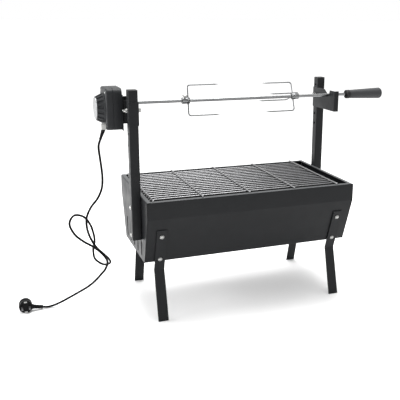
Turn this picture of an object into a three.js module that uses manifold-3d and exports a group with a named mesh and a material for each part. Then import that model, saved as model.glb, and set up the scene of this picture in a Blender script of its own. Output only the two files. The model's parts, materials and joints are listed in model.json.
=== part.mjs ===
// Charcoal spit roaster: an open trough on four bent legs, a cooking grid, and a motor-driven spit between
// two posts. Millimetres, +X along the trough towards the spit's handle, +Z up. The model is laid out around
// the middle of the trough on the floor, and shifted along X at the end so that the origin is under the
// middle of its length.

import * as THREE from "three";
import { mergeVertices } from "three/addons/utils/BufferGeometryUtils.js";
import Module from "manifold-3d";

const wasm = await Module();
wasm.setup();

// ---------------------------------------------------------------- driving dimensions

const CLEARANCE = 0.3; // gap between touching pieces
const HALF_TURN = Math.PI;

// Trough
const BODY_LENGTH = 600;
const BODY_WIDTH = 328;
const BOTTOM_WIDTH = 236;
const RIM_HEIGHT = 338;
const BAND_HEIGHT = 48; // upright band under the rim
const BOTTOM_HEIGHT = 160; // underside of the trough
const SHEET = 1.5;
const BEND = 1.5; // inside radius of a folded sheet
const RIM_FLANGE = 12;
const BOTTOM_FLANGE = 14;

// Vent slots in the end panels
const SLOT_COUNT = 5;
const SLOT_PITCH = 44;
const SLOT_WIDTH = 10;
const SLOT_ABOVE_BOTTOM = 10; // from the trough's underside to the slots' lower ends
const SLOT_LENGTH = 60;
const SLOT_TO_POST = 5; // a slot under a post stops this far below it

// Charcoal grate, an upturned channel on the floor pan
const GRATE_END_GAP = 30;
const GRATE_SIDE_GAP = 18;
const GRATE_HEIGHT = 24;
const GRATE_SHEET = 2;
const GRATE_SLOT = [150, 12];
const GRATE_ROWS = 6;
const GRATE_COLUMNS = 3;

// Cooking grid
const GRID_LEFT_GAP = 14; // from the trough's left end to the rods; the grid lies pushed to this side
const GRID_RIGHT_GAP = 44.5;
const GRID_SIDE_GAP = 31; // from the rim's outer face to the outer long rods
const GRID_RODS = 15;
const GRID_ROD = 4.5;
const GRID_WIRES = 5;
const GRID_WIRE = 5;
const GRID_WIRE_INSET = 5; // outer cross wires, from the rod ends
const GRID_REST = 6; // length of each cross wire's end on the rim
const WELD = 0.4; // depth that welded wires sink into each other

// Legs, bent from flat bar
const LEG_WIDTH = 28;
const LEG_THICKNESS = 4;
const LEG_INSET = 41; // from the end of the trough to the leg's middle
const LEG_OVERLAP = 97; // how far the leg reaches up the panel
const KNEE_DROP = 25; // from the trough's underside to the knee
const FOOT_INSET = 18; // from the rim's outer face to the inner face of the foot on the floor
const LEG_BEND = 5;
const LEG_BOLTS = { upper: 80, lower: 10 }; // heights above the trough's underside

// Bolts
const BOLT = 6;
const BOLT_HEAD = 2 * BOLT;
const BOLT_HEAD_HEIGHT = 3.5;
const CLAMP_HEAD_HEIGHT = 7; // of the brackets' two bolts
const NUT = 1.9 * BOLT; // across corners
const NUT_HEIGHT = 5;
const BOLT_END = 2; // thread beyond the nut

// Posts, square tube
const POST = 25;
const POST_WALL = 1.6;
const POST_CORNER = 2.5;
const POST_Y = 88;
const POST_RAISE = 60; // from the trough's underside to the post's lower end
const POST_ABOVE_SPIT = 42;
const POST_BOLTS = { upper: 88, lower: 13 }; // heights above the post's lower end
const HEIGHT_HOLE = 8;
const HEIGHT_HOLE_PITCH = 30;
const HEIGHT_HOLES = 5;
const BRACKET_HOLE = 3; // the brackets' bolts are in this hole, counted from 0 at the lowest
const CAP_HEIGHT = 2.5;
const CAP_PLUG = 10;

// Brackets, the same folded piece on both posts
const BRACKET_REACH = 36; // from the middle plane to the far flange's outer face
const BRACKET_BELOW_SPIT = 46;
const BRACKET_BOLT_BELOW_SPIT = 8;
const BRACKET_HEIGHT = 60;
const BRACKET_SHEET = 1.5;
const POST_FLANGE = 27;
const FAR_FLANGE = 14;
const NOTCH_RAMP = 22; // how far the notch's sloping side runs back
const WING_SPAN = 26;
const WING_HEIGHT = 11;

// Spit
const SPIT_HEIGHT = 572;
const SPIT = 9;
const SPIT_SQUARE = 0.7 * SPIT; // across the flats of the driven end
const SPIT_DRIVEN = 20; // length of that end inside the drive sleeve
const COLLAR = 15;
const COLLAR_LENGTH = 8;
const FERRULE_BEYOND_TROUGH = 56;
const FERRULE_LENGTH = 11;
const HANDLE_LENGTH = 111;
const HANDLE_SMALL = 25;
const HANDLE_LARGE = 33;
const TANG = 80; // length of the spit inside the handle

// Forks
const LEFT_FORK_TURN = THREE.MathUtils.degToRad(12);
const RIGHT_FORK_TURN = THREE.MathUtils.degToRad(25);
const FORK_REACH = 42;
const FORK_WIRE = 4;
const FORK_PRONG = 93;
const FORK_BEND = 7;
const FORK_POINT = 10;
const FORK_HUB = 18;
const FORK_HUB_LENGTH = 22;
const LEFT_FORK_X = -139; // plane of the left fork's arms
const RIGHT_FORK_X = 179;
const THUMBSCREW = 5;
const THUMBSCREW_HEAD = 13;
const THUMBSCREW_HEIGHT = 7;

// Motor
const MOTOR_BELOW_SPIT = 11; // the housing's middle hangs this far below the spit
const MOUNT_DEPTH = 27;
const MOUNT_HEIGHT = 61;
const MOUNT_BELOW_SPIT = 49; // from the spit's axis to the mount's lower edge
const PLATE_HEIGHT = 94;
const MOTOR_WIDTH = 88;
const MOTOR_HEIGHT = 109;
const REAR_SHELL_DEPTH = 23;
const FRONT_SHELL_DEPTH = 18.7;
const SHELL_WALL = 2.5;
const SHELL_CORNER = 14;
const SHELL_BEVEL = 4;
const COVER_MARGIN = 3; // from the housing's sides to the cover's base
const COVER_TIP = 63;
const COVER_DEPTH = 20;
const COVER_GROOVES = 16;
const COVER_GROOVE = [5, 2.5]; // width and depth
const DISC = 60;
const DISC_THICKNESS = 2;
const SLEEVE = 16;
const SLEEVE_GAP = 1.5;
const COIL = 48;

// Cord and plug
const CORD = 6.2;
const GLAND_Y = -26;
const GLAND_SIZE = [12, 14, 14];
const GLAND_COLLAR = 6; // length of its short spout
const GLAND_ABOVE_BASE = 9.5; // from the housing's underside to the gland's middle
const CORD_LEAN = THREE.MathUtils.degToRad(20); // the cord leaves downwards, leaning out by this angle
const RELIEF = 22;
const PLUG = 36;
const PLUG_DEPTH = 25;
const PLUG_FROM_CORD = [-46, -14]; // from the cord's end to the middle of the plug's face, along X and Y
const PIN = 4.8;
const PIN_LENGTH = 19;
const PIN_PITCH = 19;

// The cord's centre line, from the strain relief down to the floor and along it to the plug
const CORD_ROUTE = [
  [-387.4, -26, 481.5],
  [-391.8, -25.5, 466],
  [-390, -24, 438],
  [-387, -23, 409],
  [-385, -22, 379],
  [-388, -21, 349],
  [-400, -22, 323],
  [-419, -23, 300],
  [-432, -27, 274],
  [-433, -31, 245],
  [-425, -33, 216],
  [-411, -32, 189],
  [-392, -27, 166],
  [-376, -17, 145],
  [-371, -1, 127.5],
  [-386, 21, 117],
  [-406, 36, 130],
  [-410, 38, 157],
  [-406, 30, 186],
  [-410, 24, 215],
  [-419, 17, 242],
  [-435, 11, 265],
  [-461, 0, 275],
  [-477, -22, 260],
  [-468, -39, 236],
  [-447, -48, 216],
  [-423, -54, 200],
  [-401, -57, 179],
  [-387, -53, 154],
  [-390, -41, 129],
  [-402, -26, 106],
  [-416, -11, 84],
  [-432, 3, 65],
  [-452, 17, 48],
  [-473, 28, 33],
  [-498, 36, 18],
  [-522, 41, 7],
  [-536, 41.3, 4],
  [-546, 41.1, 4.1],
  [-555, 41, 5.8],
];

// ---------------------------------------------------------------- worked-out places

const HALF_LENGTH = BODY_LENGTH / 2;
const HALF_WIDTH = BODY_WIDTH / 2;
const HALF_BOTTOM = BOTTOM_WIDTH / 2;
const BAND_BOTTOM = RIM_HEIGHT - BAND_HEIGHT;
const SLOPE = Math.atan((HALF_WIDTH - HALF_BOTTOM) / (BAND_BOTTOM - BOTTOM_HEIGHT));
const SLOT_BOTTOM = BOTTOM_HEIGHT + SLOT_ABOVE_BOTTOM;
const GRATE_BASE = BOTTOM_HEIGHT + 2 * SHEET + 2 * CLEARANCE;
const GRATE_LENGTH = BODY_LENGTH - 2 * GRATE_END_GAP;
const GRATE_WIDTH = BOTTOM_WIDTH - 2 * GRATE_SIDE_GAP;
const GRID_LENGTH = BODY_LENGTH - GRID_LEFT_GAP - GRID_RIGHT_GAP;
const GRID_WIDTH = BODY_WIDTH - 2 * GRID_SIDE_GAP;
const LEG_X = HALF_LENGTH - LEG_INSET;
const LEG_TOP = BOTTOM_HEIGHT + LEG_OVERLAP;
const KNEE_HEIGHT = BOTTOM_HEIGHT - KNEE_DROP;
const FOOT_Y = HALF_WIDTH - FOOT_INSET;
const LEG_BOLT_PLACES = Object.entries(LEG_BOLTS).map(([place, above]) => [place, BOTTOM_HEIGHT + above]);
const POST_BOTTOM = BOTTOM_HEIGHT + POST_RAISE;
const POST_TOP = SPIT_HEIGHT + POST_ABOVE_SPIT;
const POST_BOLT_PLACES = Object.entries(POST_BOLTS).map(([place, above]) => [place, POST_BOTTOM + above]);
const POST_FACE = HALF_LENGTH + CLEARANCE; // a post's face against the end panel
const WEB_FACE = POST_FACE - CLEARANCE; // a bracket web's face against its post
const BRACKET_BASE = SPIT_HEIGHT - BRACKET_BELOW_SPIT;
const BRACKET_BOLT_HEIGHT = SPIT_HEIGHT - BRACKET_BOLT_BELOW_SPIT;
const HEIGHT_HOLE_LOWEST = BRACKET_BOLT_HEIGHT - BRACKET_HOLE * HEIGHT_HOLE_PITCH;
const MOUNT_HALF = BRACKET_REACH + CLEARANCE + BRACKET_SHEET;
const MOUNT_FACE = WEB_FACE + MOUNT_DEPTH; // outer face of the mount's web
const PLATE_FACE = MOUNT_FACE + CLEARANCE + BRACKET_SHEET;
const REAR_SHELL_START = PLATE_FACE + CLEARANCE;
const FRONT_SHELL_START = REAR_SHELL_START + REAR_SHELL_DEPTH + CLEARANCE;
const COVER_START = FRONT_SHELL_START + FRONT_SHELL_DEPTH + CLEARANCE;
const DISC_START = COVER_START + COVER_DEPTH + CLEARANCE;
const MOTOR_END = DISC_START + DISC_THICKNESS;
const MOTOR_Z = SPIT_HEIGHT - MOTOR_BELOW_SPIT;
const SPIT_START = REAR_SHELL_START + SPIT_DRIVEN;
const COVER_BASE = MOTOR_WIDTH - 2 * COVER_MARGIN;
const SLEEVE_HOLE = SLEEVE + 2 * SLEEVE_GAP;
const FERRULE_START = HALF_LENGTH + FERRULE_BEYOND_TROUGH;
const HANDLE_START = FERRULE_START + FERRULE_LENGTH + CLEARANCE;
const HANDLE_END = HANDLE_START + HANDLE_LENGTH;
const ORIGIN_X = (HANDLE_END - MOTOR_END) / 2;

// ---------------------------------------------------------------- solids

function toSolid(geometry) {
  geometry.deleteAttribute("normal");
  geometry.deleteAttribute("uv");
  const merged = mergeVertices(geometry, 1e-4);
  return new wasm.Manifold(
    new wasm.Mesh({
      numProp: 3,
      vertProperties: new Float32Array(merged.attributes.position.array),
      triVerts: new Uint32Array(merged.index.array),
    }),
  );
}

function toGeometry(solid) {
  const mesh = solid.getMesh();
  const geometry = new THREE.BufferGeometry();
  geometry.setAttribute("position", new THREE.BufferAttribute(mesh.vertProperties.slice(), 3));
  geometry.setIndex(new THREE.BufferAttribute(mesh.triVerts.slice(), 1));
  geometry.computeVertexNormals();
  return geometry;
}

const join = (first, ...others) => others.reduce((solid, other) => solid.add(other), first);
const cut = (solid, ...tools) => tools.reduce((rest, tool) => rest.subtract(tool), solid);

// An outline's two coordinates and its extrusion run along these axes in turn: y,z,x or z,x,y or x,y,z.
const UNIT = {
  x: new THREE.Vector3(1, 0, 0),
  y: new THREE.Vector3(0, 1, 0),
  z: new THREE.Vector3(0, 0, 1),
};
const BASES = {
  x: new THREE.Matrix4().makeBasis(UNIT.y, UNIT.z, UNIT.x),
  y: new THREE.Matrix4().makeBasis(UNIT.z, UNIT.x, UNIT.y),
  z: new THREE.Matrix4().makeBasis(UNIT.x, UNIT.y, UNIT.z),
};

function prismGeometry(outline, from, to, options = {}) {
  const shape = new THREE.Shape(outline.map(([a, b]) => new THREE.Vector2(a, b)));
  const geometry = new THREE.ExtrudeGeometry(shape, { depth: to - from, bevelEnabled: false, ...options });
  return geometry.translate(0, 0, from);
}

function prism(axis, outline, from, to) {
  return toSolid(prismGeometry(outline, from, to).applyMatrix4(BASES[axis]));
}

function box([x0, x1], [y0, y1], [z0, z1]) {
  const geometry = new THREE.BoxGeometry(x1 - x0, y1 - y0, z1 - z0);
  return toSolid(geometry.translate((x0 + x1) / 2, (y0 + y1) / 2, (z0 + z1) / 2));
}

function coneGeometry(from, to, startRadius, endRadius, sides) {
  const geometry = new THREE.CylinderGeometry(endRadius, startRadius, to - from, sides);
  return geometry.rotateX(Math.PI / 2).translate(0, 0, (from + to) / 2);
}

function rod(axis, [a, b], from, to, diameter, sides, endDiameter = diameter) {
  const geometry = coneGeometry(from, to, diameter / 2, endDiameter / 2, sides);
  return toSolid(geometry.translate(a, b, 0).applyMatrix4(BASES[axis]));
}

// A solid of revolution about +Z from [radius, z] points that start and end on the axis, bottom first
function turned(points, sides) {
  const profile = points.map(([radius, z]) => new THREE.Vector2(radius, z));
  return toSolid(new THREE.LatheGeometry(profile, sides).rotateX(Math.PI / 2));
}

const mirrored = (outline) => outline.map(([a, b]) => [-a, b]).reverse();

function rectangle(a, b, width, height) {
  const [w, h] = [width / 2, height / 2];
  return [[a - w, b - h], [a + w, b - h], [a + w, b + h], [a - w, b + h]];
}

function slotOutline(a, low, high, width) {
  const radius = width / 2;
  const steps = 4;
  const arc = (b, start) =>
    Array.from({ length: steps + 1 }, (_, i) => {
      const angle = start + (Math.PI * i) / steps;
      return [a + radius * Math.cos(angle), b + radius * Math.sin(angle)];
    });
  return [...arc(high - radius, 0), ...arc(low + radius, Math.PI)];
}

// Replaces each corner of a line by an arc. radii holds one radius for each point, 0 to keep it sharp.
function roundLine(points, radii, steps, closed = false) {
  const result = [];
  const count = points.length;
  points.forEach((point, i) => {
    const radius = radii[i];
    const corner = new THREE.Vector2(...point);
    if (!radius || (!closed && (i === 0 || i === count - 1))) {
      result.push(corner);
      return;
    }
    const before = new THREE.Vector2(...points[(i + count - 1) % count]).sub(corner).normalize();
    const after = new THREE.Vector2(...points[(i + 1) % count]).sub(corner).normalize();
    const turn = Math.PI - before.angleTo(after);
    const start = corner.clone().addScaledVector(before, radius * Math.tan(turn / 2));
    const middle = before.clone().add(after).normalize();
    const centre = corner.clone().addScaledVector(middle, radius / Math.cos(turn / 2));
    const side = Math.sign(-before.cross(after));
    for (let step = 0; step <= steps; step += 1) {
      result.push(start.clone().rotateAround(centre, (side * turn * step) / steps));
    }
  });
  return result.map(({ x, y }) => [x, y]);
}

// The outline of a folded strip. The points run along one face, and its thickness is to their left.
function strip(points, thickness, bend) {
  const lines = points.slice(1).map(([a, b], i) => new THREE.Vector2(a - points[i][0], b - points[i][1]));
  const normals = lines.map(({ x, y }) => new THREE.Vector2(-y, x).normalize());
  const leftFace = points.map(([a, b], i) => {
    const before = normals[Math.max(i - 1, 0)];
    const after = normals[Math.min(i, normals.length - 1)];
    const scale = thickness / (1 + before.dot(after));
    return [a + (before.x + after.x) * scale, b + (before.y + after.y) * scale];
  });
  const turnsLeft = points.map((_, i) => i > 0 && i < lines.length && lines[i - 1].cross(lines[i]) > 0);
  const radii = turnsLeft.map((left) => (left ? bend + thickness : bend));
  const leftRadii = turnsLeft.map((left) => (left ? bend : bend + thickness));
  const steps = 2;
  return [...roundLine(points, radii, steps), ...roundLine(leftFace, leftRadii, steps).reverse()];
}

// ---------------------------------------------------------------- materials

function material(color, roughness, metalness) {
  return new THREE.MeshStandardMaterial({ color, roughness, metalness });
}
const BLACK_STEEL = material(0x1c1d1f, 0.55, 0.3);
const CHROME = material(0xc9ccce, 0.22, 1);
const ZINC = material(0xb4b6b6, 0.35, 1);
const RAW_STEEL = material(0x77787a, 0.5, 1);
const MATTE_BLACK = material(0x222325, 0.7, 0);
const BLACK_RUBBER = material(0x141414, 0.8, 0);
const GREY_PLASTIC = material(0xa8a8a6, 0.6, 0);
const COPPER = material(0xa5633a, 0.4, 1);

const root = new THREE.Group();

function add(parent, name, solid, look) {
  const mesh = new THREE.Mesh(toGeometry(solid), look);
  mesh.name = name;
  parent.add(mesh);
  return mesh;
}

// A frame inside the parent, turned about +Z by half a turn for the left end or the back
function turnedFrame(turn) {
  const frame = new THREE.Group();
  frame.rotation.z = turn;
  root.add(frame);
  return frame;
}

// ---------------------------------------------------------------- trough

const slopeY = (height) => -(HALF_BOTTOM + (height - BOTTOM_HEIGHT) * Math.tan(SLOPE));

// Takes +Z to the outward normal of the front panel's slope, at a place on its outer face
function onSlope(x, height) {
  const matrix = new THREE.Matrix4().makeRotationX(Math.PI / 2 + SLOPE);
  return matrix.setPosition(x, slopeY(height), height);
}

const legSigns = [-1, 1];
const legBoltFrames = legSigns.flatMap((sign) =>
  LEG_BOLT_PLACES.map(([, height]) => onSlope(sign * LEG_X, height)),
);

// A bolt's clearance hole along a frame's Z axis
function boltHole(from, to, place) {
  const radius = BOLT / 2 + CLEARANCE;
  return toSolid(coneGeometry(from, to, radius, radius, 12).applyMatrix4(place));
}

function longPanel() {
  const outline = strip(
    [
      [-(HALF_WIDTH - RIM_FLANGE), RIM_HEIGHT],
      [-HALF_WIDTH, RIM_HEIGHT],
      [-HALF_WIDTH, BAND_BOTTOM],
      [-HALF_BOTTOM, BOTTOM_HEIGHT],
      [-(HALF_BOTTOM - BOTTOM_FLANGE), BOTTOM_HEIGHT],
    ],
    SHEET,
    BEND,
  );
  const end = HALF_LENGTH - SHEET - CLEARANCE;
  const panel = prism("x", outline, -end, end);
  const flangeEnd = HALF_LENGTH - RIM_FLANGE - CLEARANCE;
  const rimGaps = legSigns.map((sign) =>
    box(
      [sign * flangeEnd, sign * HALF_LENGTH].sort((a, b) => a - b),
      [-HALF_WIDTH - 1, 0],
      [RIM_HEIGHT - SHEET - BEND - CLEARANCE, RIM_HEIGHT + 1],
    ),
  );
  const reach = SHEET + 2;
  const holes = legBoltFrames.map((place) => boltHole(-reach, reach, place));
  return cut(panel, ...rimGaps, ...holes);
}

// The end at +X. Its post stands at +POST_Y.
function endPanel() {
  const profile = strip(
    [
      [RIM_HEIGHT, HALF_LENGTH - RIM_FLANGE],
      [RIM_HEIGHT, HALF_LENGTH],
      [BOTTOM_HEIGHT, HALF_LENGTH],
    ],
    SHEET,
    BEND,
  );
  const folded = prism("y", profile, -HALF_WIDTH, HALF_WIDTH);
  const side = [
    [-HALF_BOTTOM, BOTTOM_HEIGHT],
    [HALF_BOTTOM, BOTTOM_HEIGHT],
    [HALF_WIDTH, BAND_BOTTOM],
    [HALF_WIDTH, RIM_HEIGHT + 1],
    [-HALF_WIDTH, RIM_HEIGHT + 1],
    [-HALF_WIDTH, BAND_BOTTOM],
  ];
  const through = [HALF_LENGTH - RIM_FLANGE - 1, HALF_LENGTH + 1];
  const slots = Array.from({ length: SLOT_COUNT }, (_, i) => {
    const y = (i - (SLOT_COUNT - 1) / 2) * SLOT_PITCH;
    const underPost = Math.abs(y - POST_Y) < (POST + SLOT_WIDTH) / 2;
    const fullTop = SLOT_BOTTOM + SLOT_LENGTH;
    const top = underPost ? Math.min(fullTop, POST_BOTTOM - SLOT_TO_POST) : fullTop;
    return prism("x", slotOutline(y, SLOT_BOTTOM, top, SLOT_WIDTH), ...through);
  });
  const holes = POST_BOLT_PLACES.map(([, height]) =>
    rod("x", [POST_Y, height], ...through, BOLT + 2 * CLEARANCE, 12),
  );
  return cut(folded.intersect(prism("x", side, ...through)), ...slots, ...holes);
}

function floorPan() {
  const x = HALF_LENGTH - SHEET - CLEARANCE;
  const base = BOTTOM_HEIGHT + SHEET + CLEARANCE;
  const y = -slopeY(base) - SHEET / Math.cos(SLOPE) - BEND - CLEARANCE;
  return box([-x, x], [-y, y], [base, base + SHEET]);
}

function charcoalGrate() {
  const half = GRATE_WIDTH / 2;
  const top = GRATE_BASE + GRATE_HEIGHT;
  const outline = strip(
    [
      [half, GRATE_BASE],
      [half, top],
      [-half, top],
      [-half, GRATE_BASE],
    ],
    GRATE_SHEET,
    BEND,
  );
  const [slotLength, slotWidth] = GRATE_SLOT;
  const slots = [];
  for (let row = 0; row < GRATE_ROWS; row += 1) {
    for (let column = 0; column < GRATE_COLUMNS; column += 1) {
      const x = (column - (GRATE_COLUMNS - 1) / 2) * (GRATE_LENGTH / GRATE_COLUMNS);
      const y = (row - (GRATE_ROWS - 1) / 2) * (GRATE_WIDTH / (GRATE_ROWS + 0.5));
      const through = [top - 2 * GRATE_SHEET, top + 1];
      slots.push(prism("z", rectangle(x, y, slotLength, slotWidth), ...through));
    }
  }
  return cut(prism("x", outline, -GRATE_LENGTH / 2, GRATE_LENGTH / 2), ...slots);
}

// Six-sided rods lie with two flat sides level, so a cross wire's underside meets the rods' tops squarely.
const HEXAGON_HALF = Math.cos(Math.PI / 6) / 2;

function gridWire(axis, place, length, diameter) {
  const geometry = coneGeometry(-length / 2, length / 2, diameter / 2, diameter / 2, 6);
  if (axis === "x") geometry.rotateZ(Math.PI / 6);
  return toSolid(geometry.translate(...place, 0).applyMatrix4(BASES[axis]));
}

function cookingGrid() {
  const wireZ = RIM_HEIGHT + CLEARANCE + GRID_WIRE * HEXAGON_HALF;
  const rodZ = wireZ - (GRID_WIRE + GRID_ROD) * HEXAGON_HALF + WELD;
  const wireSpan = 2 * (HALF_WIDTH - RIM_FLANGE + GRID_REST);
  const firstWire = GRID_LENGTH / 2 - GRID_WIRE_INSET;
  const rods = Array.from({ length: GRID_RODS }, (_, i) => {
    const y = (i / (GRID_RODS - 1) - 0.5) * GRID_WIDTH;
    return gridWire("x", [y, rodZ], GRID_LENGTH, GRID_ROD);
  });
  const wires = Array.from({ length: GRID_WIRES }, (_, i) => {
    const x = (i / (GRID_WIRES - 1) - 0.5) * 2 * firstWire;
    return gridWire("y", [wireZ, x], wireSpan, GRID_WIRE);
  });
  return join(...wires, ...rods);
}

for (const [face, turn] of [["front", 0], ["back", HALF_TURN]]) {
  add(turnedFrame(turn), `${face}_panel`, longPanel(), BLACK_STEEL);
}
for (const [end, turn] of [["right", 0], ["left", HALF_TURN]]) {
  add(turnedFrame(turn), `${end}_end_panel`, endPanel(), BLACK_STEEL);
}
add(root, "floor_pan", floorPan(), BLACK_STEEL);
add(root, "charcoal_grate", charcoalGrate(), RAW_STEEL);
const grid = add(root, "cooking_grid", cookingGrid(), CHROME);
grid.position.x = (GRID_LEFT_GAP - GRID_RIGHT_GAP) / 2;

// ---------------------------------------------------------------- fasteners

const headProfile = (diameter, height, from) => [
  [0, from],
  [diameter / 2, from],
  [diameter / 2, from + 0.3 * height],
  [0.36 * diameter, from + 0.8 * height],
  [0.14 * diameter, from + height],
  [0, from + height],
];

// A bolt along +Z whose head sits on z = 0 and whose shank reaches down by length
function bolt(length, headHeight = BOLT_HEAD_HEIGHT) {
  const shank = rod("z", [0, 0], -length, CLEARANCE + 1, BOLT, 8);
  return join(turned(headProfile(BOLT_HEAD, headHeight, CLEARANCE), 8), shank);
}

// A bolt through a stack as thick as grip, with its tightened nut
function boltWithNut(grip) {
  const nutFace = -(grip + CLEARANCE);
  const nut = rod("z", [0, 0], nutFace - NUT_HEIGHT, nutFace, NUT, 6);
  return join(bolt(grip + CLEARANCE + NUT_HEIGHT + BOLT_END), nut);
}

// ---------------------------------------------------------------- legs

function leg() {
  const along = CLEARANCE / Math.cos(SLOPE);
  const knee = [slopeY(KNEE_HEIGHT) - along, KNEE_HEIGHT];
  const top = [slopeY(LEG_TOP) - along, LEG_TOP];
  const lean = (knee[0] + FOOT_Y) / KNEE_HEIGHT;
  const below = 10;
  const outline = strip([[-FOOT_Y - lean * below, -below], knee, top], LEG_THICKNESS, LEG_BEND);
  const bar = prism("x", outline, -LEG_WIDTH / 2, LEG_WIDTH / 2);
  const floor = box([-LEG_WIDTH, LEG_WIDTH], [-BODY_WIDTH, 0], [-2 * below, 0]);
  const holes = LEG_BOLT_PLACES.map(([, height]) => boltHole(-2, LEG_THICKNESS + 2, onSlope(0, height)));
  return cut(bar, floor, ...holes);
}

for (const [face, turn] of [["front", 0], ["back", HALF_TURN]]) {
  for (const sign of legSigns) {
    const frame = turnedFrame(turn);
    const side = (turn ? -sign : sign) > 0 ? "right" : "left";
    add(frame, `leg_${face}_${side}`, leg(), BLACK_STEEL).position.x = sign * LEG_X;
    for (const [place, height] of LEG_BOLT_PLACES) {
      const legStack = LEG_THICKNESS + CLEARANCE;
      const fastener = add(frame, `leg_bolt_${face}_${side}_${place}`, boltWithNut(legStack + SHEET), ZINC);
      const raised = new THREE.Matrix4().makeTranslation(0, 0, legStack);
      fastener.applyMatrix4(onSlope(sign * LEG_X, height).multiply(raised));
    }
  }
}

// ---------------------------------------------------------------- posts and brackets

const squareOutline = (x, y, size, corner) =>
  roundLine(rectangle(x, y, size, size), Array(4).fill(corner), 2, true);

const POST_X = POST_FACE + POST / 2;

// The post at the +X end
function post() {
  const outer = prism("z", squareOutline(POST_X, POST_Y, POST, POST_CORNER), POST_BOTTOM, POST_TOP);
  const inside = squareOutline(POST_X, POST_Y, POST - 2 * POST_WALL, POST_CORNER - POST_WALL);
  const through = [POST_FACE - 1, POST_FACE + POST + 1];
  const heightHoles = Array.from({ length: HEIGHT_HOLES }, (_, i) =>
    rod("x", [POST_Y, HEIGHT_HOLE_LOWEST + i * HEIGHT_HOLE_PITCH], ...through, HEIGHT_HOLE, 8),
  );
  const boltHoles = POST_BOLT_PLACES.map(([, height]) =>
    rod("x", [POST_Y, height], ...through, BOLT + 2 * CLEARANCE, 12),
  );
  return cut(outer, prism("z", inside, POST_BOTTOM - 1, POST_TOP + 1), ...heightHoles, ...boltHoles);
}

function postCap() {
  const base = POST_TOP + CLEARANCE;
  const plugSize = POST - 2 * POST_WALL - 2 * CLEARANCE;
  const plugCorner = Math.max(POST_CORNER - POST_WALL, 0);
  const plugOutline = squareOutline(POST_X, POST_Y, plugSize, plugCorner);
  const plug = prism("z", plugOutline, POST_TOP - CAP_PLUG, base + 1);
  const lid = prism("z", squareOutline(POST_X, POST_Y, POST, POST_CORNER), base, base + CAP_HEIGHT);
  return join(lid, plug);
}

function bracket() {
  const outerFace = WEB_FACE - BRACKET_SHEET;
  const behindPost = POST_Y + POST / 2 + CLEARANCE + BRACKET_SHEET;
  const outline = strip(
    [
      [outerFace + POST_FLANGE, behindPost],
      [outerFace, behindPost],
      [outerFace, -BRACKET_REACH],
      [outerFace + FAR_FLANGE, -BRACKET_REACH],
    ],
    BRACKET_SHEET,
    BEND,
  );
  const folded = prism("z", outline, BRACKET_BASE, BRACKET_BASE + BRACKET_HEIGHT);
  const notchHalf = SPIT / 2 + CLEARANCE;
  const notchBase = SPIT_HEIGHT - notchHalf;
  const notchTop = BRACKET_BASE + BRACKET_HEIGHT + 1;
  const notch = [
    [-notchHalf, notchTop],
    [-notchHalf, notchBase],
    [notchHalf, notchBase],
    [notchHalf, SPIT_HEIGHT],
    [notchHalf + NOTCH_RAMP, notchTop],
  ];
  const through = [outerFace - 1, WEB_FACE + 1];
  const clampHole = rod("x", [POST_Y, BRACKET_BOLT_HEIGHT], ...through, BOLT + 2 * CLEARANCE, 12);
  return cut(folded, prism("x", notch, ...through), clampHole);
}

// A wing nut along +Z, standing on z = 0
function wingNut() {
  const hubHeight = 0.55 * WING_HEIGHT;
  const hub = rod("z", [0, 0], 0, hubHeight, NUT, 10, 0.8 * NUT);
  const [inner, outer, lift] = [0.35 * BOLT + 2, WING_SPAN / 2, 0.45 * WING_HEIGHT];
  const wing = [
    [inner, 1],
    [0.7 * outer, 0.3 * lift],
    [outer, lift],
    [outer, WING_HEIGHT - 2],
    [0.85 * outer, WING_HEIGHT],
    [0.65 * outer, WING_HEIGHT - 2],
    [inner, hubHeight - 0.5],
  ];
  const halfThickness = 1.2;
  const wings = [wing, mirrored(wing)].map((outline) =>
    toSolid(prismGeometry(outline, -halfThickness, halfThickness).rotateX(Math.PI / 2)),
  );
  const bore = rod("z", [0, 0], -1, WING_HEIGHT, BOLT + 2 * CLEARANCE, 12);
  return cut(join(hub, ...wings), bore);
}

const bracketStack = BRACKET_SHEET + CLEARANCE + POST;

for (const [end, turn] of [["right", 0], ["left", HALF_TURN]]) {
  const frame = turnedFrame(turn);
  add(frame, `${end}_post`, post(), BLACK_STEEL);
  add(frame, `${end}_post_cap`, postCap(), MATTE_BLACK);
  for (const [place, height] of POST_BOLT_PLACES) {
    const fastener = add(frame, `${end}_post_bolt_${place}`, boltWithNut(POST + CLEARANCE + SHEET), ZINC);
    fastener.position.set(POST_FACE + POST, POST_Y, height);
    fastener.rotation.y = Math.PI / 2;
  }
  const bracketName = turn ? "motor_bracket" : "spit_rest_bracket";
  add(frame, bracketName, bracket(), BLACK_STEEL);
  const clampLength = bracketStack + CLEARANCE + WING_HEIGHT;
  const clamp = add(frame, `${bracketName}_bolt`, bolt(clampLength, CLAMP_HEAD_HEIGHT), ZINC);
  clamp.position.set(WEB_FACE - BRACKET_SHEET, POST_Y, BRACKET_BOLT_HEIGHT);
  clamp.rotation.y = -Math.PI / 2;
  const nut = add(frame, `${bracketName}_wing_nut`, wingNut(), ZINC);
  nut.position.set(POST_FACE + POST + CLEARANCE, POST_Y, BRACKET_BOLT_HEIGHT);
  nut.rotation.set(0, Math.PI / 2, Math.PI / 2);
}

// ---------------------------------------------------------------- motor, laid out towards -X

const spitHole = (from, to, diameter) => rod("x", [0, SPIT_HEIGHT], from, to, diameter, 16);

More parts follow.
